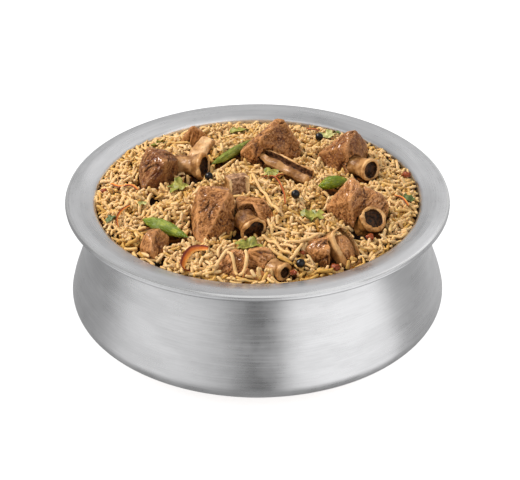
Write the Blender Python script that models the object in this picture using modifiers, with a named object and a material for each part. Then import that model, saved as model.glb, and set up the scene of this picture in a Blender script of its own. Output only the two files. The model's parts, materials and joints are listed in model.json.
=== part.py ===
"""A full aluminium handi of goat biryani: the pan, the heap of rice and what lies on it.

Metres, +Z up. The origin is the centre of the pan's flat base. The front is towards -Y.
"""
import math

import bmesh
import bpy
from mathutils import Matrix, Vector, noise

MM = 0.001

# The pan, a spun aluminium handi (mm).
RIM_HEIGHT = 90.0          # top of the flared rim above the base
RIM_RADIUS = 115.0         # outer edge of the flared rim
LIP_DEPTH = 3.4            # upright outer face of the rim
NECK_RADIUS = 98.8         # outer radius of the neck, under the rim
NECK_HEIGHT = 81.0
BELLY_RADIUS = 114.4       # widest ring of the body
BELLY_HEIGHT = 26.0
BELLY_BEND = 8.5           # radius of the bend at the widest ring
UNDER_SLOPE = 52.0         # degrees from upright, the cone under the belly
HEEL_RADIUS = 92.5         # where the cone turns into the base
HEEL_HEIGHT = 4.6
BASE_RADIUS = 80.0         # flat ring that the pan stands on
WALL = 2.2
ROUND_STEPS = 36
WALL_PARTS = 2             # points between the knots of the outer face

# The heap of rice (mm).
GAP = 0.3                  # clear space between touching pieces
CROWN_HEIGHT = 96.0        # top of the heap
HEAP_EDGE = 84.0           # where the heap meets the pan's wall
HEAP_POWER = 2.4
HEAP_RINGS = 7
MOUND_DEPTH = 1.1

# Cut ends and soft pieces (mm).
MARROW_DEPTH = 1.6
BONE_STEPS = 12
CHILLI_STEPS = 8
CHILLI_RINGS = 7
MEAT_ROUGHNESS = 0.7
MEAT_EDGE = 13.0           # longer edges of a chunk are divided
ROOT_DEPTH = 5.0           # how far a chunk goes down past its lowest corner
ROOT_SHRINK = 0.86

# Upper corners of each chunk of meat, in mm, heights from the plane of the rim.
# A chunk with two lists has two lobes.
CHUNKS = {
    "meat_left_back": [[
        (-67, 19, 17), (-52, 15, 15), (-47, 17, 9), (-55, 3, 15), (-69, -2, 1), (-72, 14, 4),
        (-63, 0, -4), (-54, 4, -4), (-45, 18, -3), (-66, 30, 0), (-50, 30, 1), (-58, 29, 10)]],
    "meat_back_small": [[
        (-41, 57, 12), (-34, 57, 8), (-30, 62, 0), (-50, 59, -3), (-43, 53, -3), (-46, 57, 7),
        (-46, 69, -3), (-34, 69, -2), (-40, 65, 8)]],
    "meat_back": [[
        (12, 41, 26), (16, 40, 26), (1, 23, 21), (-5, 23, 17), (-11, 28, 10), (-8, 27, 3),
        (3, 20, 2), (27, 31, 3), (26, 37, 10), (2, 35, 19), (-9, 38, 8), (8, 53, 3), (24, 48, 4)]],
    "meat_right_back": [[
        (57, 33, 22), (61, 33, 21), (54, 21, 16), (40, 31, 7), (36, 35, 3), (43, 25, 1),
        (56, 16, -1), (64, 28, 6), (67, 37, 10), (69, 41, 3), (50, 48, 4), (64, 49, 0)]],
    "meat_centre": [[
        (-33, -37, 21), (-16, -36, 20), (-19, -50, 20), (-33, -62, 1), (-38, -38, 7),
        (-36, -53, 1), (-24, -61, -1), (-17, -57, 0), (-12, -43, 9), (-14, -38, 16),
        (-36, -27, 4), (-19, -25, 4), (-28, -29, 16)]],
    "meat_centre_right": [[
        (-13, -32, 14), (3, -31, 13), (12, -42, 1), (7, -36, 9), (-11, -45, 10), (-4, -48, 8),
        (5, -45, 1), (-12, -23, 5), (3, -24, 5)]],
    "meat_right": [
        [(55, -25, 22), (60, -29, 18), (53, -38, 13), (48, -26, 14), (40, -29, 4), (43, -32, 3),
         (52, -39, 0), (56, -42, 0), (64, -31, 8), (48, -17, 3), (60, -15, 4), (57, -20, 17)],
        [(61, -23, 15), (69, -27, 12), (74, -25, 9), (77, -29, 5), (75, -32, 2), (62, -35, 9),
         (62, -17, 5), (74, -19, 2)]],
    "meat_front_right": [[
        (26, -69, 0), (33, -67, 5), (40, -66, 7), (41, -74, 3), (39, -75, -4), (31, -71, -4),
        (30, -61, 1), (39, -60, 2)]],
    "meat_front_left": [[
        (-22, -83, -3), (-16, -81, 2), (-12, -79, 6), (-8, -81, 6), (-5, -85, 1), (-17, -87, -7),
        (-8, -88, -7), (-18, -74, -1), (-7, -73, 0)]],
    "meat_front": [[
        (-4, -79, 5), (3, -76, 5), (7, -77, 4), (11, -80, 0), (6, -84, -4), (-3, -81, -2),
        (-2, -70, 0), (9, -71, -1)]],
    "meat_left_front": [[
        (-63, -54, 4), (-57, -54, 5), (-67, -61, -3), (-65, -64, -7), (-60, -67, 0),
        (-50, -54, -1), (-56, -69, -8), (-52, -62, -5), (-62, -47, -2), (-53, -46, 0)]],
}

# Round bones: the middle of the cut end, the middle of the other end, the radius at the cut,
# the radius at the waist, and the height over the width.
TUBES = {
    "bone_left_back": ((-32, 15, 7), (-50, 22, 4.5), 7.4, 5.5, 1.0),
    "bone_right_back": ((69, 12, 6.5), (58, 24, 3), 6.2, 5.4, 0.94),
    "bone_centre_tube": ((-1.5, -54.5, 4), (-9.5, -39, 9), 7.4, 6.2, 0.95),
    "bone_right": ((67, -43, 6), (60, -35, -7), 7.3, 6.4, 0.94),
    "bone_front": ((15.5, -89, -2.5), (7, -80, -4.5), 4.9, 4.4, 1.0),
}
# The flat ring of bone at the front right, and the meat that it holds.
HOOP_MIDDLE = (50.2, -68.5, 1.8)
HOOP_FACING = (0.42, -0.62, 0.66)
HOOP_DOWN = (0.42, -0.48, -0.77)
HOOP_HALF_LENGTH = 12.4
HOOP_HALF_WIDTH = 7.0
HOOP_DEPTH = 9.0
HOOP_WALL = 2.3
HOOP_RECESS = 7.0

# The split rib at the back, its two ends and its section.
RIB_START = (3.0, 23.5, 9.5)
RIB_END = (31.0, 2.5, 5.0)
RIB_FACING = (0.25, -0.45, 0.85)
RIB_WIDTH = 10.0
RIB_HEIGHT = 8.0
RIB_GROOVE_WIDTH = 4.0
RIB_GROOVE_DEPTH = 5.0

# The sawn block of bone behind the middle chunk.
BLOCK_MIDDLE = (-12.0, -11.5, 8.0)
BLOCK_SIZE = (13.0, 9.0, 15.0)
BLOCK_CHANNEL = (7.0, 3.0)
BLOCK_LEAN = -8.0
BLOCK_TURN = 22.0

# The strip of pale fat and the splinter of bone: middle, size and turns.
FAT_STRIP = ((-35.5, 39.0, 5.6), (21.0, 9.5, 5.0), (6.0, -8.0, 81.0))
BONE_SPLINTER = ((0.5, -88.0, -5.0), (16.0, 6.0, 5.0), (24.0, 8.0, -6.0))

# Green chillies: the two tips, the thickest radius, the bow and where it is thickest.
CHILLIES = {
    "chilli_left": ((-66.5, -38, 2.2), (-39, -58.5, 2.6), 4.0, 0.6, 0.42),
    "chilli_back": ((-28, 19, 6.8), (-4, 52, 6.0), 2.9, -1.2, 0.45),
    "chilli_right": ((35.5, -8.0, 5.8), (53.5, -5.0, 9.8), 3.9, 0.9, 0.5),
}

# Colours of the materials: red, green, blue, roughness and metallic.
FINISHES = {
    "handi": (0.62, 0.62, 0.63, 0.32, 1.0),
    "rice": (0.80, 0.56, 0.28, 0.55, 0.0),
    "meat": (0.25, 0.11, 0.05, 0.60, 0.0),
    "bone": (0.62, 0.44, 0.24, 0.45, 0.0),
    "fat": (0.74, 0.60, 0.40, 0.45, 0.0),
    "chilli": (0.20, 0.30, 0.03, 0.25, 0.0),
}


def clear_scene():
    """Remove every object of the scene the file opens with."""
    for thing in list(bpy.data.objects):
        bpy.data.objects.remove(thing, do_unlink=True)


def new_collection(name):
    collection = bpy.data.collections.new(name)
    bpy.context.scene.collection.children.link(collection)
    return collection


def finish(node, kind):
    """Give a node its own Principled material of one kind."""
    red, green, blue, roughness, metallic = FINISHES[kind]
    material = bpy.data.materials.new(node.name + "_" + kind)
    material.use_nodes = True
    shader = material.node_tree.nodes["Principled BSDF"]
    shader.inputs["Base Color"].default_value = (red, green, blue, 1.0)
    shader.inputs["Roughness"].default_value = roughness
    shader.inputs["Metallic"].default_value = metallic
    material.diffuse_color = (red, green, blue, 1.0)
    node.data.materials.clear()
    node.data.materials.append(material)


def add_object(name, mesh, collection):
    node = bpy.data.objects.new(name, mesh)
    collection.objects.link(node)
    return node


def evaluated_mesh(node):
    """The mesh of an object with its modifiers and its place in the world applied."""
    bpy.context.view_layer.update()
    graph = bpy.context.evaluated_depsgraph_get()
    mesh = bpy.data.meshes.new_from_object(node.evaluated_get(graph))
    mesh.transform(node.matrix_world)
    return mesh


def bake(node):
    """Apply an object's modifiers and transform to its mesh."""
    mesh = evaluated_mesh(node)
    node.modifiers.clear()
    node.data = mesh
    node.matrix_world = Matrix.Identity(4)


def screw(name, profile, steps, collection):
    """Turn a profile of (radius, height) points in mm into a solid about Z."""
    mesh = bpy.data.meshes.new(name)
    points = [(radius * MM, 0.0, height * MM) for radius, height in profile]
    edges = [(index, index + 1) for index in range(len(points) - 1)]
    mesh.from_pydata(points, edges, [])
    node = add_object(name, mesh, collection)
    turn = node.modifiers.new("Screw", "SCREW")
    turn.steps = steps
    turn.render_steps = steps
    turn.use_merge_vertices = True
    turn.merge_threshold = 0.00001
    turn.use_smooth_shade = True
    return node


def smooth_line(points, parts):
    """Points along a Catmull-Rom curve through the given (radius, height) points."""
    line = []
    ends = [2 * Vector(points[0]) - Vector(points[1]), 2 * Vector(points[-1]) - Vector(points[-2])]
    knots = [ends[0]] + [Vector(point) for point in points] + [ends[1]]
    for before, start, end, after in zip(knots, knots[1:], knots[2:], knots[3:]):
        for part in range(parts):
            t = part / parts
            line.append(0.5 * (2 * start + (end - before) * t
                               + (2 * before - 5 * start + 4 * end - after) * t * t
                               + (3 * start - before - 3 * end + after) * t ** 3))
    line.append(knots[-2])
    return line


def wall_line(parts):
    """The outer face of the body, from the neck down to the middle of the base."""
    bend_middle = Vector((BELLY_RADIUS - BELLY_BEND, BELLY_HEIGHT))
    bend_top = bend_middle + BELLY_BEND * Vector((math.cos(0.3), math.sin(0.3)))
    line = smooth_line([(NECK_RADIUS, NECK_HEIGHT), (101.5, 68.0), (107.0, 50.0),
                        (112.1, 35.5), tuple(bend_top)], parts)
    for step in range(1, 4):
        angle = 0.3 - step / 3 * (0.3 + math.radians(UNDER_SLOPE))
        line.append(bend_middle + BELLY_BEND * Vector((math.cos(angle), math.sin(angle))))
    line += [Vector((HEEL_RADIUS, HEEL_HEIGHT)), Vector((87.0, 1.4)),
             Vector((BASE_RADIUS, 0.0)), Vector((0.0, 0.0))]
    return line


def inset_line(line, depth):
    """The same line moved inwards by a depth, square to itself."""
    inset = []
    for index, point in enumerate(line):
        before = line[max(index - 1, 0)]
        after = line[min(index + 1, len(line) - 1)]
        along = (after - before).normalized()
        inset.append(point + depth * Vector((along.y, -along.x)))
    inset[-1] = Vector((0.0, depth))
    inset[-2] = Vector((BASE_RADIUS, depth))
    return inset


def make_handi(collection):
    """The pan: a spun wall with a flared rim, open at the top."""
    outside = wall_line(WALL_PARTS)
    inside = inset_line(wall_line(1), WALL)
    throat = NECK_RADIUS - WALL
    top = RIM_HEIGHT
    flare = [(throat + 0.2, top - 4.8), (throat + 1.0, top - 2.6), (throat + 3.0, top - 1.1),
             (throat + 7.0, top - 0.35), (RIM_RADIUS - 0.9, top), (RIM_RADIUS, top - 0.9),
             (RIM_RADIUS - 0.1, top - LIP_DEPTH + 0.4), (RIM_RADIUS - 1.2, top - LIP_DEPTH),
             (NECK_RADIUS + 4.6, top - LIP_DEPTH - 0.5), (NECK_RADIUS + 1.2, top - 5.6)]
    profile = [tuple(point) for point in reversed(inside)] + flare
    profile += [tuple(point) for point in outside]
    handi = screw("handi", profile, ROUND_STEPS, collection)
    finish(handi, "handi")
    return handi


def heap_height(x, y):
    """Height of the heap of rice above a point, all in mm."""
    edge = NECK_RADIUS - WALL - GAP
    out = min(math.hypot(x, y) / edge, 1.0)
    dome = CROWN_HEIGHT - (CROWN_HEIGHT - HEAP_EDGE) * out ** HEAP_POWER
    mounds = math.sin(0.11 * x + 0.6) * math.sin(0.13 * y - 0.4) + math.sin(0.19 * x - 0.15 * y)
    return dome + MOUND_DEPTH * mounds * (1.0 - out ** 8)


def make_rice(collection):
    """The heap of rice, one solid from the floor of the pan to its uneven outline."""
    edge = NECK_RADIUS - WALL - GAP
    dome = [(edge * ring / HEAP_RINGS, CROWN_HEIGHT) for ring in range(HEAP_RINGS)]
    side = [tuple(point) for point in inset_line(wall_line(1), WALL + GAP)]
    rice = screw("rice_heap", dome + [(edge, HEAP_EDGE)] + side, ROUND_STEPS, collection)
    bake(rice)
    for vertex in rice.data.vertices:
        x, y, z = vertex.co / MM
        if z > HEAP_EDGE - 0.01:
            vertex.co.z = heap_height(x, y) * MM
    finish(rice, "rice")
    return rice


def from_rim(point):
    """A point given in mm from the middle of the plane of the rim, in metres from the base."""
    return Vector((point[0], point[1], RIM_HEIGHT + point[2])) * MM


def hull(name, corners, collection):
    """A block whose corners are the given points, in mm from the plane of the rim."""
    mesh = bpy.data.meshes.new(name)
    shape = bmesh.new()
    for corner in corners:
        shape.verts.new(from_rim(corner))
    made = bmesh.ops.convex_hull(shape, input=shape.verts)
    inner = [item for item in made["geom_interior"] if isinstance(item, bmesh.types.BMVert)]
    bmesh.ops.delete(shape, geom=inner, context="VERTS")
    bmesh.ops.recalc_face_normals(shape, faces=shape.faces)
    shape.to_mesh(mesh)
    shape.free()
    return add_object(name, mesh, collection)


def with_roots(corners):
    """Corners of a chunk and, under them, the smaller outline that it has in the rice."""
    middle_x = sum(corner[0] for corner in corners) / len(corners)
    middle_y = sum(corner[1] for corner in corners) / len(corners)
    floor = min(corner[2] for corner in corners) - ROOT_DEPTH
    roots = [(middle_x + (x - middle_x) * ROOT_SHRINK, middle_y + (y - middle_y) * ROOT_SHRINK, floor)
             for x, y, z in corners]
    return corners + roots


def roughen(node, depth):
    """Divide the long edges of a block and move its points a little in and out."""
    shape = bmesh.new()
    shape.from_mesh(node.data)
    long_edges = [edge for edge in shape.edges if edge.calc_length() > MEAT_EDGE * MM]
    bmesh.ops.subdivide_edges(shape, edges=long_edges, cuts=1)
    bmesh.ops.triangulate(shape, faces=shape.faces)
    bmesh.ops.smooth_vert(shape, verts=shape.verts, factor=0.12,
                          use_axis_x=True, use_axis_y=True, use_axis_z=True)
    shape.normal_update()
    for vertex in shape.verts:
        swell = noise.noise(vertex.co / (6.0 * MM))
        vertex.co += vertex.normal * swell * depth * MM
    shape.to_mesh(node.data)
    shape.free()


def cut(node, cutter, operation="DIFFERENCE", solver="EXACT"):
    """Cut a node by another object, or join the two, and apply it at once."""
    boolean = node.modifiers.new("Cut", "BOOLEAN")
    boolean.operation = operation
    boolean.object = cutter
    boolean.solver = solver
    bake(node)


def make_chunk(name, lobes, collection, cutters):
    """A chunk of meat from the corners of its lobes."""
    chunk = hull(name, with_roots(lobes[0]), collection)
    roughen(chunk, MEAT_ROUGHNESS)
    for number, corners in enumerate(lobes[1:]):
        lobe = hull(name + "_lobe" + str(number), with_roots(corners), cutters)
        roughen(lobe, MEAT_ROUGHNESS)
        cut(chunk, lobe, "UNION")
        bpy.data.objects.remove(lobe, do_unlink=True)
    finish(chunk, "meat")
    return chunk


def place_along(node, start, end, facing=(0.0, 0.0, 1.0)):
    """Lay a shape made along Z between two points, with its X side facing a direction."""
    along = (from_rim(end) - from_rim(start)).normalized()
    side = along.cross(Vector(facing)).normalized()
    turn = Matrix((side.cross(along), side, along)).transposed().to_4x4()
    node.matrix_world = Matrix.Translation(from_rim(start)) @ turn


def make_tube(name, collection):
    """A round bone, narrow at its waist, with the marrow sunk into its cut end."""
    cut_end, far_end, cut_radius, waist, squat = TUBES[name]
    length = (Vector(cut_end) - Vector(far_end)).length
    marrow = cut_radius * 0.68
    profile = [(0.0, length - MARROW_DEPTH), (marrow, length - MARROW_DEPTH), (marrow + 0.3, length),
               (cut_radius - 0.5, length), (cut_radius, length - 1.0), (waist, length * 0.5),
               (waist * 1.1, 1.2), (waist * 0.7, 0.0), (0.0, 0.0)]
    bone = screw(name, profile, BONE_STEPS, collection)
    bake(bone)
    bone.data.transform(Matrix.Diagonal((squat, 1.0, 1.0, 1.0)))
    place_along(bone, far_end, cut_end)
    bake(bone)
    finish(bone, "bone")
    return bone


def hoop_place():
    """The frame of the flat ring of bone: X along its length, Z out of its cut face."""
    out = Vector(HOOP_FACING).normalized()
    down = Vector(HOOP_DOWN)
    down = (down - down.dot(out) * out).normalized()
    side = out.cross(down)
    turn = Matrix((down, side, out)).transposed().to_4x4()
    return Matrix.Translation(from_rim(HOOP_MIDDLE)) @ turn


def make_hoop(collection):
    """The flat ring of bone, closed behind, with a deep recess for its meat."""
    round_radius = HOOP_HALF_LENGTH
    inner = round_radius - HOOP_WALL
    profile = [(0.0, -HOOP_RECESS), (inner, -HOOP_RECESS), (inner, -0.4), (inner + 0.4, 0.0),
               (round_radius - 0.6, 0.0), (round_radius, -0.8), (round_radius * 0.96, -HOOP_DEPTH),
               (0.0, -HOOP_DEPTH)]
    hoop = screw("bone_front_right", profile, BONE_STEPS + 4, collection)
    bake(hoop)
    hoop.data.transform(Matrix.Diagonal((1.0, HOOP_HALF_WIDTH / HOOP_HALF_LENGTH, 1.0, 1.0)))
    hoop.matrix_world = hoop_place()
    bake(hoop)
    finish(hoop, "bone")
    return hoop


def make_hoop_meat(collection):
    """The meat inside the ring of bone, standing a little proud of it."""
    inner = HOOP_HALF_LENGTH - HOOP_WALL - 2 * GAP
    bulge = [(0.0, 0.9), (inner * 0.5, 0.6), (inner * 0.85, -0.4), (inner, -1.6),
             (inner, -HOOP_RECESS + GAP), (0.0, -HOOP_RECESS + GAP)]
    meat = screw("meat_front_right_core", bulge, BONE_STEPS + 4, collection)
    bake(meat)
    narrow = (HOOP_HALF_WIDTH / HOOP_HALF_LENGTH) * 0.94
    meat.data.transform(Matrix.Diagonal((1.0, narrow, 1.0, 1.0)))
    meat.matrix_world = hoop_place()
    bake(meat)
    finish(meat, "meat")
    return meat


def box(name, size, collection):
    """A box primitive of a size in mm, at the origin, with its scale applied."""
    bpy.ops.mesh.primitive_cube_add(size=1.0)
    node = bpy.context.object
    node.name = name
    for owner in list(node.users_collection):
        owner.objects.unlink(node)
    collection.objects.link(node)
    node.data.transform(Matrix.Diagonal((size[0] * MM, size[1] * MM, size[2] * MM, 1.0)))
    return node


def soften(node, width):
    bevel = node.modifiers.new("Bevel", "BEVEL")
    bevel.width = width * MM
    bevel.segments = 1
    bevel.limit_method = "ANGLE"


def make_rib(collection, cutters):
    """The split rib: a long bar with a deep groove along its top."""
    length = (Vector(RIB_END) - Vector(RIB_START)).length
    rib = box("bone_back_rib", (RIB_HEIGHT, RIB_WIDTH, length), collection)
    soften(rib, 1.6)
    bake(rib)
    groove = box("rib_groove", (RIB_GROOVE_DEPTH, RIB_GROOVE_WIDTH, length * 1.2), cutters)
    groove.location = Vector((RIB_HEIGHT / 2, 0.8, RIB_GROOVE_WIDTH)) * MM
    cut(rib, groove)
    bpy.data.objects.remove(groove, do_unlink=True)
    rib.data.transform(Matrix.Translation((0.0, 0.0, length / 2 * MM)))
    place_along(rib, RIB_START, RIB_END, RIB_FACING)
    bake(rib)
    finish(rib, "bone")
    return rib


def make_block(collection, cutters):
    """The sawn block of bone with a channel of marrow down its front."""
    block = box("bone_centre_block", BLOCK_SIZE, collection)
    soften(block, 1.0)
    bake(block)
    channel = box("block_channel", (BLOCK_CHANNEL[0], BLOCK_CHANNEL[1] * 2, BLOCK_SIZE[2] * 1.2), cutters)
    channel.location = Vector((0.6, -BLOCK_SIZE[1] / 2, 0.0)) * MM
    cut(block, channel)
    bpy.data.objects.remove(channel, do_unlink=True)
    turn = Matrix.Rotation(math.radians(BLOCK_TURN), 4, "Z")
    lean = Matrix.Rotation(math.radians(BLOCK_LEAN), 4, "X")
    block.matrix_world = Matrix.Translation(from_rim(BLOCK_MIDDLE)) @ turn @ lean
    bake(block)
    finish(block, "bone")
    return block


def make_slab(name, form, kind, collection):
    """A small soft-edged slab from its middle, size and turns about X, Y and Z."""
    middle, size, turns = form
    slab = box(name, size, collection)
    soften(slab, min(size) * 0.3)
    bake(slab)
    place = Matrix.Translation(from_rim(middle))
    for axis, angle in zip("ZYX", reversed(turns)):
        place = place @ Matrix.Rotation(math.radians(angle), 4, axis)
    slab.matrix_world = place
    bake(slab)
    finish(slab, kind)
    return slab


def make_chilli(name, collection):
    """A green chilli: a long pointed form, a little bowed."""
    start, end, radius, bow, thickest = CHILLIES[name]
    length = (Vector(end) - Vector(start)).length
    profile = [(0.0, length)]
    for ring in range(CHILLI_RINGS, 0, -1):
        t = ring / (CHILLI_RINGS + 1)
        swell = t / thickest if t < thickest else (1 - t) / (1 - thickest)
        profile.append((radius * math.sin(swell * math.pi / 2) ** 0.8, t * length))
    profile.append((0.0, 0.0))
    chilli = screw(name, profile, CHILLI_STEPS, collection)
    bake(chilli)
    for vertex in chilli.data.vertices:
        vertex.co.x += bow * MM * math.sin(math.pi * vertex.co.z / (length * MM))
    place_along(chilli, start, end)
    bake(chilli)
    finish(chilli, "chilli")
    return chilli


def boxes_meet(first, second):
    """Whether the bounding boxes of two meshes come within the gap of each other."""
    margin = 2 * GAP * MM
    for axis in range(3):
        one = [vertex.co[axis] for vertex in first.data.vertices]
        two = [vertex.co[axis] for vertex in second.data.vertices]
        if min(one) > max(two) + margin or min(two) > max(one) + margin:
            return False
    return True


def grown_copy(node, cutters):
    """A slightly larger copy of a node, which cuts its neighbours clear of it."""
    copy = add_object("around_" + node.name, node.data.copy(), cutters)
    swell = copy.modifiers.new("Displace", "DISPLACE")
    swell.mid_level = 0.0
    swell.strength = GAP * 1.7 * MM
    bake(copy)
    copy.hide_render = True
    copy.display_type = "WIRE"
    return copy


def keep_main_body(node):
    """Drop loose crumbs that the cuts leave, and weld points that fall together."""
    shape = bmesh.new()
    shape.from_mesh(node.data)
    bmesh.ops.remove_doubles(shape, verts=shape.verts, dist=0.02 * MM)
    bmesh.ops.dissolve_degenerate(shape, edges=shape.edges, dist=0.01 * MM)
    bmesh.ops.triangulate(shape, faces=shape.faces)
    unseen = set(shape.verts)
    bodies = []
    while unseen:
        front = [unseen.pop()]
        body = set(front)
        while front:
            vertex = front.pop()
            for edge in vertex.link_edges:
                other = edge.other_vert(vertex)
                if other in unseen:
                    unseen.discard(other)
                    body.add(other)
                    front.append(other)
        bodies.append(body)
    bodies.sort(key=len)
    crumbs = [vertex for body in bodies[:-1] for vertex in body]
    bmesh.ops.delete(shape, geom=crumbs, context="VERTS")
    shape.to_mesh(node.data)
    shape.free()


def main():
    """Build the pan, the toppings from the hardest to the softest, and the rice around them."""
    clear_scene()
    parts = new_collection("biryani")
    cutters = new_collection("cutters")
    make_handi(parts)
    pieces = [make_tube(name, parts) for name in TUBES]
    pieces += [make_rib(parts, cutters), make_block(parts, cutters), make_hoop(parts)]
    pieces.append(make_slab("bone_front_splinter", BONE_SPLINTER, "bone", parts))
    pieces.append(make_slab("fat_strip", FAT_STRIP, "fat", parts))
    pieces += [make_chilli(name, parts) for name in CHILLIES]
    pieces.append(make_hoop_meat(parts))
    pieces += [make_chunk(name, lobes, parts, cutters) for name, lobes in CHUNKS.items()]
    around = []
    for piece in pieces:
        for cutter in around:
            if boxes_meet(piece, cutter):
                cut(piece, cutter)
        keep_main_body(piece)
        around.append(grown_copy(piece, cutters))
    rice = make_rice(parts)
    for cutter in around:
        cut(rice, cutter, solver="MANIFOLD")
    keep_main_body(rice)


main()
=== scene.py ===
"""Looks of a full aluminium handi of goat biryani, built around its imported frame.

The script spins a finer pan, lets loose grains of rice settle over a smaller bed, carves the meat
and the bones, and lays the garnish. The sizes of the dish are in millimetres where a class doesn't
say otherwise, and heights "from the rim" count from the plane of the pan's rim. Meshes are in
metres, +Z is up, and the front of the dish is towards -Y.
"""
import json
import logging
import math
from dataclasses import dataclass, field
from enum import Enum
from typing import ClassVar, Sequence, Union

import bmesh
import bpy
import numpy as np
from mathutils import Euler, Matrix, Vector, noise
from mathutils.bvhtree import BVHTree

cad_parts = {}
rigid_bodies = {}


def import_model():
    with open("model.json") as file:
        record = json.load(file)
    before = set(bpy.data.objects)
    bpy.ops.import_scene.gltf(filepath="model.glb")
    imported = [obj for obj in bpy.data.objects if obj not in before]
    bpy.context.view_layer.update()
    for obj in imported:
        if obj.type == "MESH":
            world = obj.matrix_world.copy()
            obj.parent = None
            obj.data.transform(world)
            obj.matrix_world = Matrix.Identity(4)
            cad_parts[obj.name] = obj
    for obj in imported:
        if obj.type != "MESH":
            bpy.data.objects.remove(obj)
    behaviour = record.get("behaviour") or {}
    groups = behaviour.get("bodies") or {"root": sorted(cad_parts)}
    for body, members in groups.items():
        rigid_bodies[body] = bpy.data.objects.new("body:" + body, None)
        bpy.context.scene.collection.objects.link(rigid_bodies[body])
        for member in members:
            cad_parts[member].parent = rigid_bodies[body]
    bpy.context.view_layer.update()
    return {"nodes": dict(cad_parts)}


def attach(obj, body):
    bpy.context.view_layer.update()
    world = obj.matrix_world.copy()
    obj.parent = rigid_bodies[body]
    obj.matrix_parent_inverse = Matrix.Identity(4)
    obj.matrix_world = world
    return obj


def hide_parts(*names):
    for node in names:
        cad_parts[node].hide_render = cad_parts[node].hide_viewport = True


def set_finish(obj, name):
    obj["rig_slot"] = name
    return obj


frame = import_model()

log = logging.getLogger("biryani")

MM = 0.001
BODY = "root"

Colour = tuple[float, float, float]
Point = tuple[float, float, float]
Flat = tuple[float, float]
Material = bpy.types.Material
Mesh = bpy.types.Mesh
Node = bpy.types.Node
Piece = bpy.types.Object
Socket = bpy.types.NodeSocket
Tree = bpy.types.NodeTree
Feed = Union[Socket, float, Sequence[float]]


# ---------------------------------------------------------------- colours and meshes


def srgb(red: int, green: int, blue: int) -> Colour:
    """A colour given as it looks on a screen, 0 to 255, as the linear numbers of a shader.

    Args:
        red: Red, 0 to 255.
        green: Green, 0 to 255.
        blue: Blue, 0 to 255.

    Returns:
        The linear colour.
    """
    parts = []
    for value in (red, green, blue):
        share = value / 255
        parts.append(share / 12.92 if share <= 0.04045 else ((share + 0.055) / 1.055) ** 2.4)
    return parts[0], parts[1], parts[2]


def from_rim(point: Sequence[float]) -> Vector:
    """A point in mm, its height counted from the rim, as metres from the base."""
    return Vector((point[0], point[1], Handi.rim_height + point[2])) * MM


def mesh_piece(name: str, points: np.ndarray, faces: Sequence[np.ndarray],
               material: Material, slot: str) -> Piece:
    """Make a smooth mesh object that rides on the dish.

    Args:
        name: The piece's name.
        points: Points in metres, one row each.
        faces: Arrays of point numbers, one array for each count of corners.
        material: The material of the whole piece.
        slot: The material slot of the record that the piece belongs to.

    Returns:
        The new object.
    """
    mesh = bpy.data.meshes.new(name)
    counts = np.concatenate([np.full(len(block), block.shape[1]) for block in faces])
    corners = np.concatenate([block.ravel() for block in faces])
    mesh.vertices.add(len(points))
    mesh.vertices.foreach_set("co", np.asarray(points, np.float32).ravel())
    mesh.loops.add(len(corners))
    mesh.loops.foreach_set("vertex_index", corners.astype(np.int32))
    mesh.polygons.add(len(counts))
    mesh.polygons.foreach_set("loop_start", (np.cumsum(counts) - counts).astype(np.int32))
    mesh.polygons.foreach_set("use_smooth", np.ones(len(counts), bool))
    mesh.materials.append(material)
    mesh.update(calc_edges=True)
    mesh.validate()
    return add_piece(name, mesh, slot)


def add_piece(name: str, mesh: Mesh, slot: str) -> Piece:
    """Put a finished mesh on the dish as a piece of its own.

    Args:
        name: The piece's name.
        mesh: Its mesh.
        slot: The material slot of the record that it belongs to.

    Returns:
        The new object.
    """
    piece = bpy.data.objects.new(name, mesh)
    bpy.context.scene.collection.objects.link(piece)
    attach(piece, BODY)
    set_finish(piece, slot)
    return piece


def read_points(mesh: Mesh) -> np.ndarray:
    """The points of a mesh.

    Args:
        mesh: The mesh.

    Returns:
        Where its points are, one row each, in metres.
    """
    values = np.empty(len(mesh.vertices) * 3, np.float32)
    mesh.vertices.foreach_get("co", values)
    return values.reshape(-1, 3).astype(float)


def read_normals(mesh: Mesh) -> np.ndarray:
    """The directions that the points of a mesh face.

    Args:
        mesh: The mesh.

    Returns:
        The direction of each point, one row each.
    """
    values = np.empty(len(mesh.vertices) * 3, np.float32)
    mesh.vertex_normals.foreach_get("vector", values)
    return values.reshape(-1, 3).astype(float)


def write_mark(mesh: Mesh, name: str, values: np.ndarray) -> None:
    """Store one number for each point of a mesh, for its material to read."""
    mark = mesh.attributes.new(name, "FLOAT", "POINT")
    mark.data.foreach_set("value", np.asarray(values, np.float32))


def ring_faces(rows: int, steps: int) -> np.ndarray:
    """Four-cornered faces between rows of points that each go round a form.

    Args:
        rows: How many rows of points there are.
        steps: How many points there are in a row.

    Returns:
        One row of four point numbers for each face.
    """
    row = np.arange(rows - 1)[:, None] * steps
    step = np.arange(steps)[None, :]
    after = (step + 1) % steps
    faces = np.stack([row + step, row + after, row + steps + after, row + steps + step], axis=-1)
    return faces.reshape(-1, 4)


def end_faces(rows: int, steps: int) -> np.ndarray:
    """The faces that close the first and the last row of a form, one row each."""
    rim = np.arange(steps)
    return np.stack([rim[::-1], rim + (rows - 1) * steps])


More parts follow.
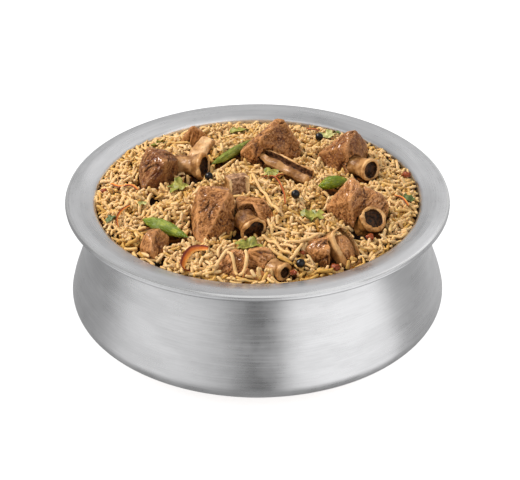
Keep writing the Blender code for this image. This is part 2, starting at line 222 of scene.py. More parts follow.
def turned(profile: Sequence[Flat], steps: int) -> tuple[np.ndarray, list[np.ndarray], np.ndarray]:
    """Turn a profile about Z. It runs down the outer side, and both its ends are on the axis.

    Args:
        profile: Points as radius and height in mm, from the upper middle to the lower middle.
        steps: How many points go round.

    Returns:
        The points in metres, the faces, and the number of the profile's stretch of each face.
    """
    angles = np.arange(steps) * (2 * math.pi / steps)
    line = np.array(profile[1:-1], float)
    rows = len(line)
    points = np.empty((rows, steps, 3))
    points[:, :, 0] = line[:, None, 0] * np.cos(angles)
    points[:, :, 1] = line[:, None, 0] * np.sin(angles)
    points[:, :, 2] = line[:, None, 1]
    points = np.vstack([points.reshape(-1, 3), [[0, 0, profile[0][1]], [0, 0, profile[-1][1]]]])
    around = np.arange(steps)
    after = (around + 1) % steps
    top, bottom = rows * steps, rows * steps + 1
    last = (rows - 1) * steps
    quads = ring_faces(rows, steps)[:, ::-1]
    tip = np.stack([np.full(steps, top), around, after], axis=1)
    foot = np.stack([np.full(steps, bottom), last + after, last + around], axis=1)
    stretch = np.concatenate([np.repeat(np.arange(1, rows), steps), np.zeros(steps, int),
                              np.full(steps, rows)])
    return points * MM, [quads, np.vstack([tip, foot])], stretch


def smooth_line(points: Sequence[Sequence[float]], parts: int) -> np.ndarray:
    """Points along a Catmull-Rom curve through the given points.

    Args:
        points: The points that the curve goes through.
        parts: How many pieces each stretch is divided into.

    Returns:
        The points of the curve, one row each.
    """
    knots = np.array(points, float)
    knots = np.vstack([2 * knots[0] - knots[1], knots, 2 * knots[-1] - knots[-2]])
    line = []
    for before, start, end, after in zip(knots, knots[1:], knots[2:], knots[3:]):
        for part in range(parts):
            t = part / parts
            line.append(0.5 * (2 * start + (end - before) * t
                               + (2 * before - 5 * start + 4 * end - after) * t * t
                               + (3 * start - before - 3 * end + after) * t ** 3))
    line.append(knots[-2])
    return np.array(line)


def eased(heights: np.ndarray, rounds: int) -> np.ndarray:
    """A row of heights, smoothed.

    Args:
        heights: The heights.
        rounds: How many times each moves towards its neighbours.

    Returns:
        The smoothed heights.
    """
    for _ in range(rounds):
        heights = np.convolve(np.pad(heights, 1, mode="edge"), (0.25, 0.5, 0.25), "valid")
    return heights


def move_points(mesh: Mesh, points: np.ndarray) -> None:
    """Put the points of a mesh in new places, in metres."""
    mesh.vertices.foreach_set("co", points.astype(np.float32).ravel())
    mesh.update()


def remeshed(mesh: Mesh, voxel: float, name: str) -> Mesh:
    """A copy of a closed mesh as an even net of small faces.

    Args:
        mesh: The closed mesh to copy.
        voxel: The width of the new faces, in mm.
        name: The name of the new mesh.

    Returns:
        The new mesh.
    """
    holder = bpy.data.objects.new(name, mesh.copy())
    bpy.context.scene.collection.objects.link(holder)
    net = holder.modifiers.new("Net", "REMESH")
    net.mode = "VOXEL"
    net.voxel_size = voxel * MM
    bpy.context.view_layer.update()
    graph = bpy.context.evaluated_depsgraph_get()
    made = bpy.data.meshes.new_from_object(holder.evaluated_get(graph))
    made.name = name
    made.materials.clear()
    bpy.data.objects.remove(holder, do_unlink=True)
    return made


def relaxed(mesh: Mesh, rounds: int) -> np.ndarray:
    """Where the points of a mesh go when each moves towards its neighbours.

    Args:
        mesh: The mesh, which stays as it is.
        rounds: How many times they move.

    Returns:
        The places in metres, one row each.
    """
    points = read_points(mesh)
    edges = np.empty(len(mesh.edges) * 2, np.int32)
    mesh.edges.foreach_get("vertices", edges)
    first, second = edges.reshape(-1, 2).T
    count = np.bincount(edges, minlength=len(points))[:, None]
    for _ in range(rounds):
        total = np.zeros_like(points)
        for axis in range(3):
            total[:, axis] = (np.bincount(first, points[second, axis], len(points))
                              + np.bincount(second, points[first, axis], len(points)))
        points = 0.5 * points + 0.5 * total / count
    return points


def soften_points(mesh: Mesh, rounds: int) -> None:
    """Round the corners of a dense mesh."""
    move_points(mesh, relaxed(mesh, rounds))


def ridges(mesh: Mesh, rounds: int) -> np.ndarray:
    """How far each point of a mesh stands out of the mesh's smoothed form, in mm."""
    return np.sum((read_points(mesh) - relaxed(mesh, rounds)) * read_normals(mesh), axis=1) / MM


def heading(start: Sequence[float], end: Sequence[float]) -> Point:
    """The way from one point to another."""
    return tuple((Vector(end) - Vector(start)).normalized())


def axes_along(start: Vector, end: Vector, facing: Sequence[float] = (0, 0, 1)) -> Matrix:
    """A frame that runs along a piece.

    Args:
        start: Where the frame is, in metres.
        end: Where its Z axis points to, in metres.
        facing: The way that its X side faces.

    Returns:
        The frame.
    """
    along = (end - start).normalized()
    side = along.cross(Vector(facing)).normalized()
    turn = Matrix((side.cross(along), side, along)).transposed().to_4x4()
    return Matrix.Translation(start) @ turn


def placed(points: np.ndarray, place: Matrix) -> np.ndarray:
    """Points moved from a piece's own frame to the dish's."""
    turn = np.array(place)
    return points @ turn[:3, :3].T + turn[:3, 3]


# ---------------------------------------------------------------- wiring of materials


class Wiring:
    """Adds nodes to one tree and joins them."""

    def __init__(self, tree: Tree) -> None:
        """Start on a tree."""
        self.tree = tree

    def add(self, kind: str, settings: dict | None = None, **inputs: Feed) -> Node:
        """Add a node.

        Args:
            kind: The node's type.
            settings: Properties of the node itself.
            inputs: What its inputs take, with _ for each space in a name.

        Returns:
            The new node.
        """
        node = self.tree.nodes.new(kind)
        for name, value in (settings or {}).items():
            setattr(node, name, value)
        self.fill(node, **inputs)
        return node

    def fill(self, node: Node, **inputs: Feed) -> None:
        """Set or join some inputs of a node, with _ for each space in a name."""
        for name, value in inputs.items():
            self.feed(node.inputs[name.replace("_", " ")], value)

    def feed(self, socket: Socket, value: Feed) -> None:
        """Join a socket to another one, or set its number, vector or colour.

        Args:
            socket: The input.
            value: What it takes.
        """
        if isinstance(value, bpy.types.NodeSocket):
            self.tree.links.new(value, socket)
        elif isinstance(value, (tuple, list)) and socket.type == "RGBA" and len(value) == 3:
            socket.default_value = (*value, 1.0)
        else:
            socket.default_value = value

    def place(self) -> Socket:
        """Where a point is on the piece, in metres."""
        return self.add("ShaderNodeTexCoord").outputs["Object"]

    def vector(self, operation: str, *values: Feed) -> bpy.types.NodeOutputs:
        """One step of arithmetic on vectors: its outputs."""
        node = self.add("ShaderNodeVectorMath", {"operation": operation})
        for socket, value in zip(node.inputs, values):
            self.feed(socket, value)
        return node.outputs

    def maths(self, operation: str, *values: Feed) -> Socket:
        """One step of arithmetic on numbers."""
        node = self.add("ShaderNodeMath", {"operation": operation})
        for socket, value in zip(node.inputs, values):
            self.feed(socket, value)
        return node.outputs[0]

    def plus(self, first: Feed, second: Feed) -> Socket:
        """The sum of two numbers."""
        return self.maths("ADD", first, second)

    def minus(self, first: Feed, second: Feed) -> Socket:
        """The difference of two numbers."""
        return self.maths("SUBTRACT", first, second)

    def times(self, first: Feed, second: Feed) -> Socket:
        """The product of two numbers."""
        return self.maths("MULTIPLY", first, second)

    def over(self, first: Feed, second: Feed) -> Socket:
        """One number divided by another."""
        return self.maths("DIVIDE", first, second)

    def grain(self, vector: Socket, size: Feed, detail: float = 2.0, rough: float = 0.5) -> Socket:
        """Soft noise from 0 to 1 whose patches are about a size in mm."""
        return self.add("ShaderNodeTexNoise", Vector=vector, Scale=self.over(1000.0, size),
                        Detail=detail, Roughness=rough).outputs["Fac"]

    def spread(self, value: Feed, low: float, high: float, start: float = 0.0,
               end: float = 1.0) -> Socket:
        """Stretch the numbers between two bounds, softly at both ends.

        Args:
            value: The number to stretch.
            low: The number that becomes the start.
            high: The number that becomes the end.
            start: What the low number becomes.
            end: What the high number becomes.

        Returns:
            The new number.
        """
        node = self.add("ShaderNodeMapRange", {"interpolation_type": "SMOOTHSTEP"}, Value=value,
                        From_Min=low, From_Max=high, To_Min=start, To_Max=end)
        return node.outputs["Result"]

    def mix(self, share: Feed, first: Feed, second: Feed) -> Socket:
        """A colour between two others.

        Args:
            share: How much of the second colour there is.
            first: One colour.
            second: The other colour.

        Returns:
            The colour.
        """
        node = self.add("ShaderNodeMix", {"data_type": "RGBA"})
        for index, value in zip((0, 6, 7), (share, first, second)):
            self.feed(node.inputs[index], value)
        return node.outputs[2]

    def mark(self, name: str) -> Socket:
        """A number that the mesh stores at its points."""
        return self.add("ShaderNodeAttribute", {"attribute_name": name}).outputs["Fac"]

    def bump(self, height: Socket, depth: float, strength: float = 1.0,
             under: Socket | None = None) -> Socket:
        """A normal that shows a height as relief.

        Args:
            height: The height, 0 to 1.
            depth: How deep the relief is, in mm.
            strength: How much of it shows.
            under: The normal that it lies on, if there is one.

        Returns:
            The normal.
        """
        node = self.add("ShaderNodeBump", Height=height, Distance=depth * MM, Strength=strength)
        if under is not None:
            self.fill(node, Normal=under)
        return node.outputs["Normal"]

    def effect(self, effect: "Effect", **inputs: Feed) -> dict[str, Socket]:
        """Place a shared effect.

        Args:
            effect: Which effect it is.
            inputs: What its inputs take, with _ for each space in a name.

        Returns:
            Its outputs by name.
        """
        node = self.add("ShaderNodeGroup", {"node_tree": effect_tree(effect)}, **inputs)
        return {socket.name: socket for socket in node.outputs}

    def blotches(self, size: float) -> Socket:
        """Soft uneven patches of a size in mm."""
        return self.effect(Effect.BLOTCHES, Size=size)["Mask"]

    def relief(self, size: float) -> Socket:
        """The height of a fine uneven surface, of a size in mm."""
        return self.effect(Effect.GRIT, Size=size)["Relief"]


class Effect(Enum):
    """Effects that more than one material uses."""

    FIBRES = "fibres"
    BLOTCHES = "blotches"
    GRIT = "grit"
    HOLLOWS = "hollows"


def effect_tree(effect: Effect) -> Tree:
    """The node group of an effect, which is made the first time it is asked for.

    Args:
        effect: Which effect it is.

    Returns:
        The node group.
    """
    found = bpy.data.node_groups.get(effect.value)
    if found is not None:
        return found
    tree = bpy.data.node_groups.new(effect.value, "ShaderNodeTree")
    makers = {Effect.FIBRES: fill_fibres, Effect.BLOTCHES: fill_blotches,
              Effect.GRIT: fill_grit, Effect.HOLLOWS: fill_relief_shade}
    makers[effect](tree)
    return tree


def open_group(tree: Tree, inputs: dict[str, float | Sequence[float]],
               outputs: Sequence[str]) -> tuple[Wiring, dict[str, Socket], Node]:
    """Give a node group its sockets.

    Args:
        tree: The new group.
        inputs: The default of each input: a number, a vector of three, or a colour of four.
        outputs: The names of the outputs. The one that is called Color is a colour.

    Returns:
        The wiring of the group, its input sockets by name, and its output node.
    """
    wire = Wiring(tree)
    for name, value in inputs.items():
        kind = "Float" if isinstance(value, float) else "Vector" if len(value) == 3 else "Color"
        tree.interface.new_socket(name, in_out="INPUT", socket_type="NodeSocket" + kind).default_value = value
    for name in outputs:
        kind = "Color" if name == "Color" else "Float"
        tree.interface.new_socket(name, in_out="OUTPUT", socket_type="NodeSocket" + kind)
    way_in = wire.add("NodeGroupInput")
    way_out = wire.add("NodeGroupOutput")
    return wire, {socket.name: socket for socket in way_in.outputs if socket.name}, way_out


def fill_fibres(tree: Tree) -> None:
    """Strands along one axis: noise that is drawn out along the strands, coarse and fine."""
    wire, given, out = open_group(tree, {"Axis": (0.0, 0.0, 1.0), "Size": 1.0, "Stretch": 8.0},
                                  ("Mask", "Fine"))
    place = wire.place()
    along = wire.vector("DOT_PRODUCT", place, given["Axis"])["Value"]
    share = wire.minus(1.0, wire.over(1.0, given["Stretch"]))
    back = wire.add("ShaderNodeVectorMath", {"operation": "SCALE"})
    wire.feed(back.inputs[0], given["Axis"])
    wire.fill(back, Scale=wire.times(along, share))
    drawn = wire.vector("SUBTRACT", place, back.outputs[0])[0]
    coarse = wire.grain(drawn, given["Size"], 3.0, 0.6)
    fine = wire.grain(drawn, wire.times(given["Size"], 0.35), 3.0, 0.65)
    wire.fill(out, Mask=wire.spread(coarse, 0.35, 0.65), Fine=wire.spread(fine, 0.3, 0.7))


def fill_blotches(tree: Tree) -> None:
    """Soft uneven patches of a size in mm."""
    wire, given, out = open_group(tree, {"Size": 8.0}, ("Mask",))
    patches = wire.grain(wire.place(), given["Size"], 4.0, 0.6)
    wire.fill(out, Mask=wire.spread(patches, 0.36, 0.64))


def fill_grit(tree: Tree) -> None:
    """Fine uneven relief and pores of a size in mm."""
    wire, given, out = open_group(tree, {"Size": 0.6}, ("Relief", "Pores"))
    place = wire.place()
    cells = wire.add("ShaderNodeTexVoronoi", Vector=place, Scale=wire.over(1000.0, given["Size"]))
    wire.fill(out, Relief=wire.grain(place, given["Size"], 4.0, 0.7),
              Pores=wire.spread(cells.outputs["Distance"], 0.1, 0.45))


def fill_relief_shade(tree: Tree) -> None:
    """A colour that goes from deep grooves to crests by the relief that the mesh stores: painted shade in the
    grooves and a painted highlight on the crests.
    """
    wire, given, out = open_group(tree, {"Deep": (0.1, 0.05, 0.02, 1.0), "Middle": (0.3, 0.15, 0.08, 1.0),
                                         "Crest": (0.5, 0.3, 0.2, 1.0)}, ("Color", "Height"))
    height = wire.mark("relief")
    low = wire.mix(wire.spread(height, 0.2, 0.55), given["Deep"], given["Middle"])
    wire.fill(out, Color=wire.mix(wire.spread(height, 0.5, 0.85), low, given["Crest"]), Height=height)


@dataclass(frozen=True)
class Finish:
    """A material, made by wiring up its shader."""

    name: str

    def material(self) -> Material:
        """Make the material."""
        material = bpy.data.materials.new(self.name)
        material.use_nodes = True
        self.dress(Wiring(material.node_tree), material.node_tree.nodes["Principled BSDF"])
        return material

    def dress(self, wire: Wiring, shader: Node) -> None:
        """Feed the shader's inputs.

        Args:
            wire: The wiring of the material.
            shader: Its shader.
        """
        raise NotImplementedError


# ---------------------------------------------------------------- finishes


@dataclass(frozen=True)
class SpunAluminium(Finish):
    """Spun and brushed aluminium, whose fine lines run round the pan, with a painted highlight along the lip
    and painted shade on the inner wall just above the rice.

    The radii and the height are in metres, and the lines and smears are in millimetres.
    """

    name: str = "spun_aluminium"
    metal: Colour = (0.80, 0.80, 0.81)
    # lip band colour: partly real burnish, partly a painted highlight
    burnish_and_highlight: Colour = (0.92, 0.92, 0.92)
    # dark band on the inner wall above the rice: partly a real oil stain, partly painted shade and dark
    # reflection
    oil: Colour = srgb(128, 90, 52)
    oil_and_shade_radius: float = 0.0971
    oil_and_shade_height: float = 0.0875
    lip_radius: float = 0.1137
    roughness: float = 0.27
    line_width: float = 0.45
    line_length: float = 30.0
    smear_width: float = 6.0
    smear_length: float = 34.0

    def dress(self, wire: Wiring, shader: Node) -> None:
        """Feed the shader's inputs."""
        x, y, z = wire.add("ShaderNodeSeparateXYZ", Vector=wire.place()).outputs
        radius = wire.maths("SQRT", wire.plus(wire.times(x, x), wire.times(y, y)))
        round_pan = wire.add("ShaderNodeCombineXYZ", X=x, Y=y, Z=wire.plus(z, radius)).outputs[0]
        lines = self.drawn_noise(wire, round_pan, self.line_length, self.line_width)
        smears = self.drawn_noise(wire, round_pan, self.smear_length, self.smear_width)
        patches = wire.blotches(22.0)
        shade = wire.plus(wire.spread(lines, 0.3, 0.7, 0.0, 0.35),
                          wire.plus(wire.spread(smears, 0.35, 0.65, 0.0, 0.4), wire.times(patches, 0.25)))
        tone = wire.mix(shade, tuple(0.76 * part for part in self.metal), self.metal)
        # Painted highlight: the lip band takes a lighter metal colour where the lip's bright line shows;
        # partly real burnish.
        from_lip = wire.maths("ABSOLUTE", wire.minus(radius, self.lip_radius))
        edge = wire.times(wire.spread(from_lip, 0.0008, 0.0004), wire.spread(z, 0.082, 0.084))
        tone = wire.mix(edge, tone, self.burnish_and_highlight)
        # Painted shade: the inner wall just above the rice is darkened towards an oil brown; partly a real
        # oil stain, partly the shade and dark reflection where the rice meets the wall.
        inside = wire.spread(radius, self.oil_and_shade_radius, self.oil_and_shade_radius - 0.0015)
        under = wire.spread(wire.minus(z, wire.times(patches, 0.0012)), self.oil_and_shade_height,
                            self.oil_and_shade_height - 0.003)
        worn = wire.plus(wire.spread(lines, 0.25, 0.75, -0.04, 0.05), wire.times(patches, 0.08))
        worn = wire.minus(worn, wire.times(edge, 0.1))
        tangent = wire.add("ShaderNodeTangent", {"direction_type": "RADIAL", "axis": "Z"})
        wire.fill(shader, Base_Color=wire.mix(wire.times(wire.times(inside, under), 0.75), tone, self.oil),
                  Roughness=wire.plus(worn, self.roughness), Metallic=1.0, Anisotropic=0.7,
                  Anisotropic_Rotation=0.25, Tangent=tangent.outputs[0],
                  Normal=wire.bump(lines, 0.03, 0.35))

    def drawn_noise(self, wire: Wiring, place: Socket, length: float, width: float) -> Socket:
        """Noise that is drawn out round the pan.

        Args:
            wire: The wiring of the material.
            place: Where a point is, with its height and its radius added up as Z.
            length: How long the streaks are, in mm.
            width: How wide they are, in mm.

        Returns:
            The noise, 0 to 1.
        """
        drawn = wire.vector("MULTIPLY", place, (1000 / length, 1000 / length, 1000 / width))[0]
        return wire.add("ShaderNodeTexNoise", Vector=drawn, Scale=1.0, Detail=4.0,
                        Roughness=0.6).outputs["Fac"]


@dataclass(frozen=True)
class RiceFinish(Finish):
    """Cooked rice, a little oily, each grain of its own tone."""

    pale: Colour
    golden: Colour
    stain: Colour
    stained: float = 0.3
    shine: float = 0.15

    def dress(self, wire: Wiring, shader: Node) -> None:
        """Feed the shader's inputs."""
        each = wire.add("ShaderNodeNewGeometry").outputs["Random Per Island"]
        spots = wire.blotches(2.6)
        share = wire.plus(wire.times(each, 0.6), wire.times(wire.blotches(14.0), 0.4))
        base = wire.mix(share, self.pale, self.golden)
        wire.fill(shader, Base_Color=wire.mix(wire.times(spots, self.stained), base, self.stain),
                  Roughness=wire.spread(spots, 0.0, 1.0, 0.52, 0.4), Specular_IOR_Level=self.shine,
                  Normal=wire.bump(wire.relief(0.8), 0.12, 0.4), Subsurface_Weight=0.12,
                  Subsurface_Radius=(1.0, 0.5, 0.22), Subsurface_Scale=0.8 * MM)


@dataclass(frozen=True)
class BedFinish(Finish):
    """The rice deep in the heap, dark brown: partly stained with spice, partly painted shade for the gaps
    between the loose grains.
    """

    name: str = "rice_bed"
    deep: Colour = srgb(26, 9, 0)
    middle: Colour = srgb(94, 50, 12)
    light: Colour = srgb(150, 94, 36)

    def dress(self, wire: Wiring, shader: Node) -> None:
        """Feed the shader's inputs."""
        # Painted shade: the bed is darker where its stored relief is low.
        shade = wire.effect(Effect.HOLLOWS, Deep=self.deep, Middle=self.middle, Crest=self.light)
        wire.fill(shader, Base_Color=shade["Color"], Roughness=0.6, Specular_IOR_Level=0.1,
                  Normal=wire.bump(wire.relief(1.4), 0.5, 0.8))


@dataclass(frozen=True)
class MeatFinish(Finish):
    """Braised meat: strands along one axis, with painted highlight on its crests and ridges, painted glints,
    and painted shade in its grooves, pits and cracks.
    """

    axis: Point = (0.0, 0.0, 1.0)
    deep: Colour = srgb(56, 22, 0)
    middle: Colour = srgb(140, 84, 28)
    crest: Colour = srgb(218, 154, 94)
    glaze: Colour = srgb(104, 44, 4)
    glazed: float = 0.5
    # scales the middle and crest colours down for chunks that lie in shade: painted shade
    painted_shade_scale: float = 1.0

    def dress(self, wire: Wiring, shader: Node) -> None:
        """Feed the shader's inputs."""
        middle = tuple(self.painted_shade_scale * part for part in self.middle)
        crest = tuple(self.painted_shade_scale * part for part in self.crest)
        # Painted shade and highlight: darker in the grooves and lighter on the crests, by the stored relief.
        shade = wire.effect(Effect.HOLLOWS, Deep=self.deep, Middle=middle, Crest=crest)
        strands = wire.effect(Effect.FIBRES, Axis=self.axis, Size=1.4, Stretch=8.0)
        patches, glint_and_wet_specks = wire.blotches(8.0), wire.blotches(1.3)
        tone = wire.mix(wire.times(patches, self.glazed), shade["Color"], self.glaze)
        tone = wire.mix(wire.spread(strands["Mask"], 0.0, 0.4, 0.22, 0.0), tone, self.deep)
        tone = wire.mix(wire.spread(strands["Fine"], 0.5, 1.0, 0.0, 0.4), tone, crest)
        # Painted glints: small light spots of the crest colour; the same spots also raise the wetness and the
        # coat.
        tone = wire.mix(wire.spread(glint_and_wet_specks, 0.55, 0.95, 0.0, 0.6), tone, crest)
        wet = wire.plus(wire.times(patches, 0.5), wire.spread(glint_and_wet_specks, 0.3, 0.8, 0.0, 0.5))
        rough = wire.bump(strands["Fine"], 0.6, 0.8)
        wire.fill(shader, Base_Color=tone, Roughness=wire.spread(wet, 0.2, 0.9, 0.5, 0.2),
                  Specular_IOR_Level=0.22, Coat_Weight=wire.spread(wet, 0.35, 0.85, 0.0, 0.7),
                  Coat_Roughness=0.17, Normal=wire.bump(wire.relief(1.5), 0.8, 0.6, rough))


@dataclass(frozen=True)
class BoneFinish(Finish):
    """Cooked bone: smooth, cream to tan, with brown stains."""

    pale: Colour = srgb(168, 124, 76)
    tan: Colour = srgb(128, 86, 42)
    stain: Colour = srgb(84, 44, 10)
    pores: float = 0.08

    def dress(self, wire: Wiring, shader: Node) -> None:
        """Feed the shader's inputs."""
        wide, small = wire.blotches(9.0), wire.blotches(2.4)
        tone = wire.mix(wire.spread(wide, 0.2, 0.9), self.pale, self.tan)
        tone = wire.mix(wire.times(wire.times(small, wide), 0.6), tone, self.stain)
        wire.fill(shader, Base_Color=tone, Roughness=wire.spread(small, 0.0, 1.0, 0.36, 0.52),
                  Specular_IOR_Level=0.25, Normal=wire.bump(wire.relief(0.7), self.pores, 0.7),
                  Coat_Weight=wire.spread(wide, 0.3, 0.8, 0.12, 0.0), Coat_Roughness=0.2)


@dataclass(frozen=True)
class MarrowFinish(Finish):
    """Dark marrow or spongy bone."""

    dark: Colour = srgb(18, 7, 2)
    light: Colour = srgb(86, 52, 26)

    def dress(self, wire: Wiring, shader: Node) -> None:
        """Feed the shader's inputs."""
        patches = wire.blotches(1.8)
        grit = wire.effect(Effect.GRIT, Size=0.9)
        wire.fill(shader, Base_Color=wire.mix(wire.times(patches, grit["Pores"]), self.dark, self.light),
                  Roughness=wire.spread(patches, 0.0, 1.0, 0.3, 0.6), Specular_IOR_Level=0.25,
                  Normal=wire.bump(grit["Relief"], 0.6, 0.9))


@dataclass(frozen=True)
class ChilliSkin(Finish):
    """Waxy green skin, with lighter streaks along the pod."""

    axis: Point
    green: Colour
    light: Colour
    roughness: float = 0.2

    def dress(self, wire: Wiring, shader: Node) -> None:
        """Feed the shader's inputs."""
        streaks = wire.effect(Effect.FIBRES, Axis=self.axis, Size=1.6, Stretch=12.0)
        share = wire.times(streaks["Mask"], wire.spread(wire.blotches(5.0), 0.2, 0.9, 0.2, 0.9))
        along = wire.bump(streaks["Fine"], 0.3, 0.7)
        wire.fill(shader, Base_Color=wire.mix(share, self.green, self.light),
                  Roughness=wire.spread(streaks["Fine"], 0.0, 1.0, self.roughness, self.roughness + 0.12),
                  Normal=wire.bump(wire.relief(1.6), 0.7, 0.8, along), Specular_IOR_Level=0.4)


@dataclass(frozen=True)
class LeafFinish(Finish):
    """A soft herb leaf with pale veins."""

    green: Colour
    light: Colour

    def dress(self, wire: Wiring, shader: Node) -> None:
        """Feed the shader's inputs."""
        patches = wire.blotches(3.2)
        tone = wire.mix(patches, self.green, self.light)
        wire.fill(shader, Base_Color=wire.mix(wire.times(wire.mark("vein"), 0.7), tone, self.light),
                  Roughness=wire.spread(patches, 0.0, 1.0, 0.4, 0.55),
                  Normal=wire.bump(wire.relief(0.9), 0.3, 0.5))


@dataclass(frozen=True)
class OnionFinish(Finish):
    """Fried onion: yellow along one edge of the strip, orange in its middle, burnt along the other."""

    golden: Colour = srgb(206, 108, 24)
    burnt: Colour = srgb(106, 34, 8)
    yellow: Colour = srgb(232, 164, 78)

    def dress(self, wire: Wiring, shader: Node) -> None:
        """Feed the shader's inputs."""
        patches, rim = wire.blotches(5.0), wire.mark("rim")
        burnt = wire.plus(wire.spread(rim, 0.5, 0.92), wire.times(patches, 0.3))
        tone = wire.mix(wire.spread(rim, 0.05, 0.5), self.yellow, self.golden)
        wire.fill(shader, Base_Color=wire.mix(wire.maths("MINIMUM", burnt, 1.0), tone, self.burnt),
                  Roughness=wire.spread(patches, 0.0, 1.0, 0.25, 0.4), Specular_IOR_Level=0.35,
                  Normal=wire.bump(wire.relief(1.2), 0.3, 0.5))


@dataclass(frozen=True)
class PepperFinish(Finish):
    """The dry, wrinkled skin of a peppercorn, wet with oil."""

    name: str = "peppercorn"
    black: Colour = srgb(8, 6, 5)
    brown: Colour = srgb(34, 22, 14)

    def dress(self, wire: Wiring, shader: Node) -> None:
        """Feed the shader's inputs."""
        relief = wire.relief(1.3)
        wire.fill(shader, Base_Color=wire.mix(wire.spread(relief, 0.5, 0.75), self.black, self.brown),
                  Roughness=wire.spread(relief, 0.3, 0.7, 0.2, 0.4), Specular_IOR_Level=0.3,
                  Normal=wire.bump(relief, 0.3, 0.6))


# ---------------------------------------------------------------- the pan


@dataclass
class Handi:
    """The pan, a spun aluminium handi with a flared rim."""

    rim_height: float = 90.0
    rim_radius: float = 115.0
    lip_depth: float = 3.4
    neck_radius: float = 98.8
    neck_height: float = 81.0
    belly_radius: float = 114.4
    belly_height: float = 26.0
    belly_bend: float = 8.5
    bend_start: float = 0.3
    under_slope: float = 52.0
    heel_radius: float = 92.5
    heel_height: float = 4.6
    base_radius: float = 80.0
    wall: float = 2.2
    steps: int = 240
    finish: SpunAluminium = field(default_factory=SpunAluminium)

    def outer_line(self) -> np.ndarray:
        """The outer face of the body, from the neck down to the middle of the base."""
        middle = np.array([self.belly_radius - self.belly_bend, self.belly_height])
        top = middle + self.belly_bend * np.array([math.cos(self.bend_start),
                                                   math.sin(self.bend_start)])
        side = smooth_line([(self.neck_radius, self.neck_height), (101.5, 68.0), (107.0, 50.0),
                            (112.1, 35.5), tuple(top)], 8)
        turns = np.linspace(self.bend_start, -math.radians(self.under_slope), 16)[1:]
        bend = middle + self.belly_bend * np.stack([np.cos(turns), np.sin(turns)], axis=1)
        heel = smooth_line([(self.heel_radius, self.heel_height), (87.0, 1.4),
                            (self.base_radius, 0.0)], 6)
        return np.vstack([side, bend, heel, [[0.0, 0.0]]])

    def inner_line(self, depth: float) -> np.ndarray:
        """The outer face moved inwards, square to itself.

        Args:
            depth: How far it moves, in mm.

        Returns:
            Radius and height in mm, one row each, from the neck down.
        """
        line = self.outer_line()
        along = np.gradient(line, axis=0)
        along /= np.linalg.norm(along, axis=1)[:, None]
        inner = line + depth * np.stack([along[:, 1], -along[:, 0]], axis=1)
        inner[-1] = (0.0, depth)
        inner[-2] = (self.base_radius, depth)
        return inner

    def flare(self) -> np.ndarray:
        """The throat, slope and flat of the rim, the step and the bead of its edge, and its underside."""
        throat = self.neck_radius - self.wall
        top, edge = self.rim_height, self.rim_radius
        slope = smooth_line(np.array([(0.1, -5.2), (0.7, -3.4), (2.2, -2.1), (4.6, -1.35), (7.4, -0.62),
                                      (9.6, -0.2), (10.6, -0.06)]) + (throat, top), 6)
        flat = [(throat + 11.2, top), (edge - 5.0, top - 0.04), (edge - 2.8, top - 0.1)]
        step = np.array([(-2.2, -0.16), (-1.8, -0.3), (-0.8, -0.78), (-0.58, -0.92), (-0.5, -1.12),
                         (-0.62, -1.34), (-0.7, -1.5)]) + (edge, top)
        bead = np.array([(-0.5, -1.62), (-0.2, -1.85), (-0.05, -2.15), (0.0, -2.45), (-0.06, -2.8),
                         (-0.3, -3.15), (-0.7, -self.lip_depth)]) + (edge, top)
        under = smooth_line([(self.rim_radius - 2.4, top - self.lip_depth - 0.05),
                             (self.neck_radius + 4.6, top - self.lip_depth - 0.5),
                             (self.neck_radius + 1.2, top - 5.6)], 5)
        return np.vstack([slope, flat, step, bead, under])

    def build(self) -> Piece:
        """Spin the pan and put it in place of its plain solid."""
        profile = np.vstack([self.inner_line(self.wall)[::-1], self.flare(), self.outer_line()])
        points, faces, _ = turned([tuple(point) for point in profile], self.steps)
        piece = mesh_piece("handi_spun", points, faces, self.finish.material(), "handi")
        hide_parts("handi")
        return piece


# ---------------------------------------------------------------- the heap of rice


@dataclass
class Relief:
    """Heights over the dish on a square grid, in mm above the base."""

    half: float = 99.0
    step: float = 0.6
    heights: np.ndarray = field(init=False)

    def __post_init__(self) -> None:
        """Start with no heights at all."""
        self.count = int(2 * self.half / self.step) + 1
        self.heights = np.full((self.count, self.count), -np.inf)

    def lines(self) -> tuple[np.ndarray, np.ndarray]:
        """The x and y of every cell."""
        line = np.arange(self.count) * self.step - self.half
        return np.meshgrid(line, line, indexing="ij")

    def cells(self, x: np.ndarray, y: np.ndarray) -> tuple[np.ndarray, np.ndarray]:
        """The cells that hold some places.

        Args:
            x: The x of the places, in mm.
            y: Their y, in mm.

        Returns:
            The number of each cell across and along.
        """
        across = ((np.asarray(x) + self.half) / self.step + 0.5).astype(int)
        along = ((np.asarray(y) + self.half) / self.step + 0.5).astype(int)
        last = self.count - 1
        return np.clip(across, 0, last), np.clip(along, 0, last)

    def at(self, x: np.ndarray, y: np.ndarray) -> np.ndarray:
        """The heights at some places."""
        return self.heights[self.cells(x, y)]

    def cover(self, reach: int) -> "Relief":
        """A smooth cloth over the heights.

        Args:
            reach: It lies on the highest cells within this many cells.

        Returns:
            The heights of the cloth.
        """
        cloth = Relief(self.half, self.step)
        cloth.heights = self.heights
        for _ in range(reach):
            cloth.heights = np.max(with_neighbours(cloth.heights), axis=0)
        for _ in range(3 * reach):
            cloth.heights = 0.2 * sum(with_neighbours(cloth.heights))
        return cloth


def with_neighbours(grid: np.ndarray) -> list[np.ndarray]:
    """A grid, and the same grid shifted by one cell each way."""
    wide = np.pad(grid, 1, mode="edge")
    return [wide[1:-1, 1:-1], wide[2:, 1:-1], wide[:-2, 1:-1], wide[1:-1, 2:], wide[1:-1, :-2]]


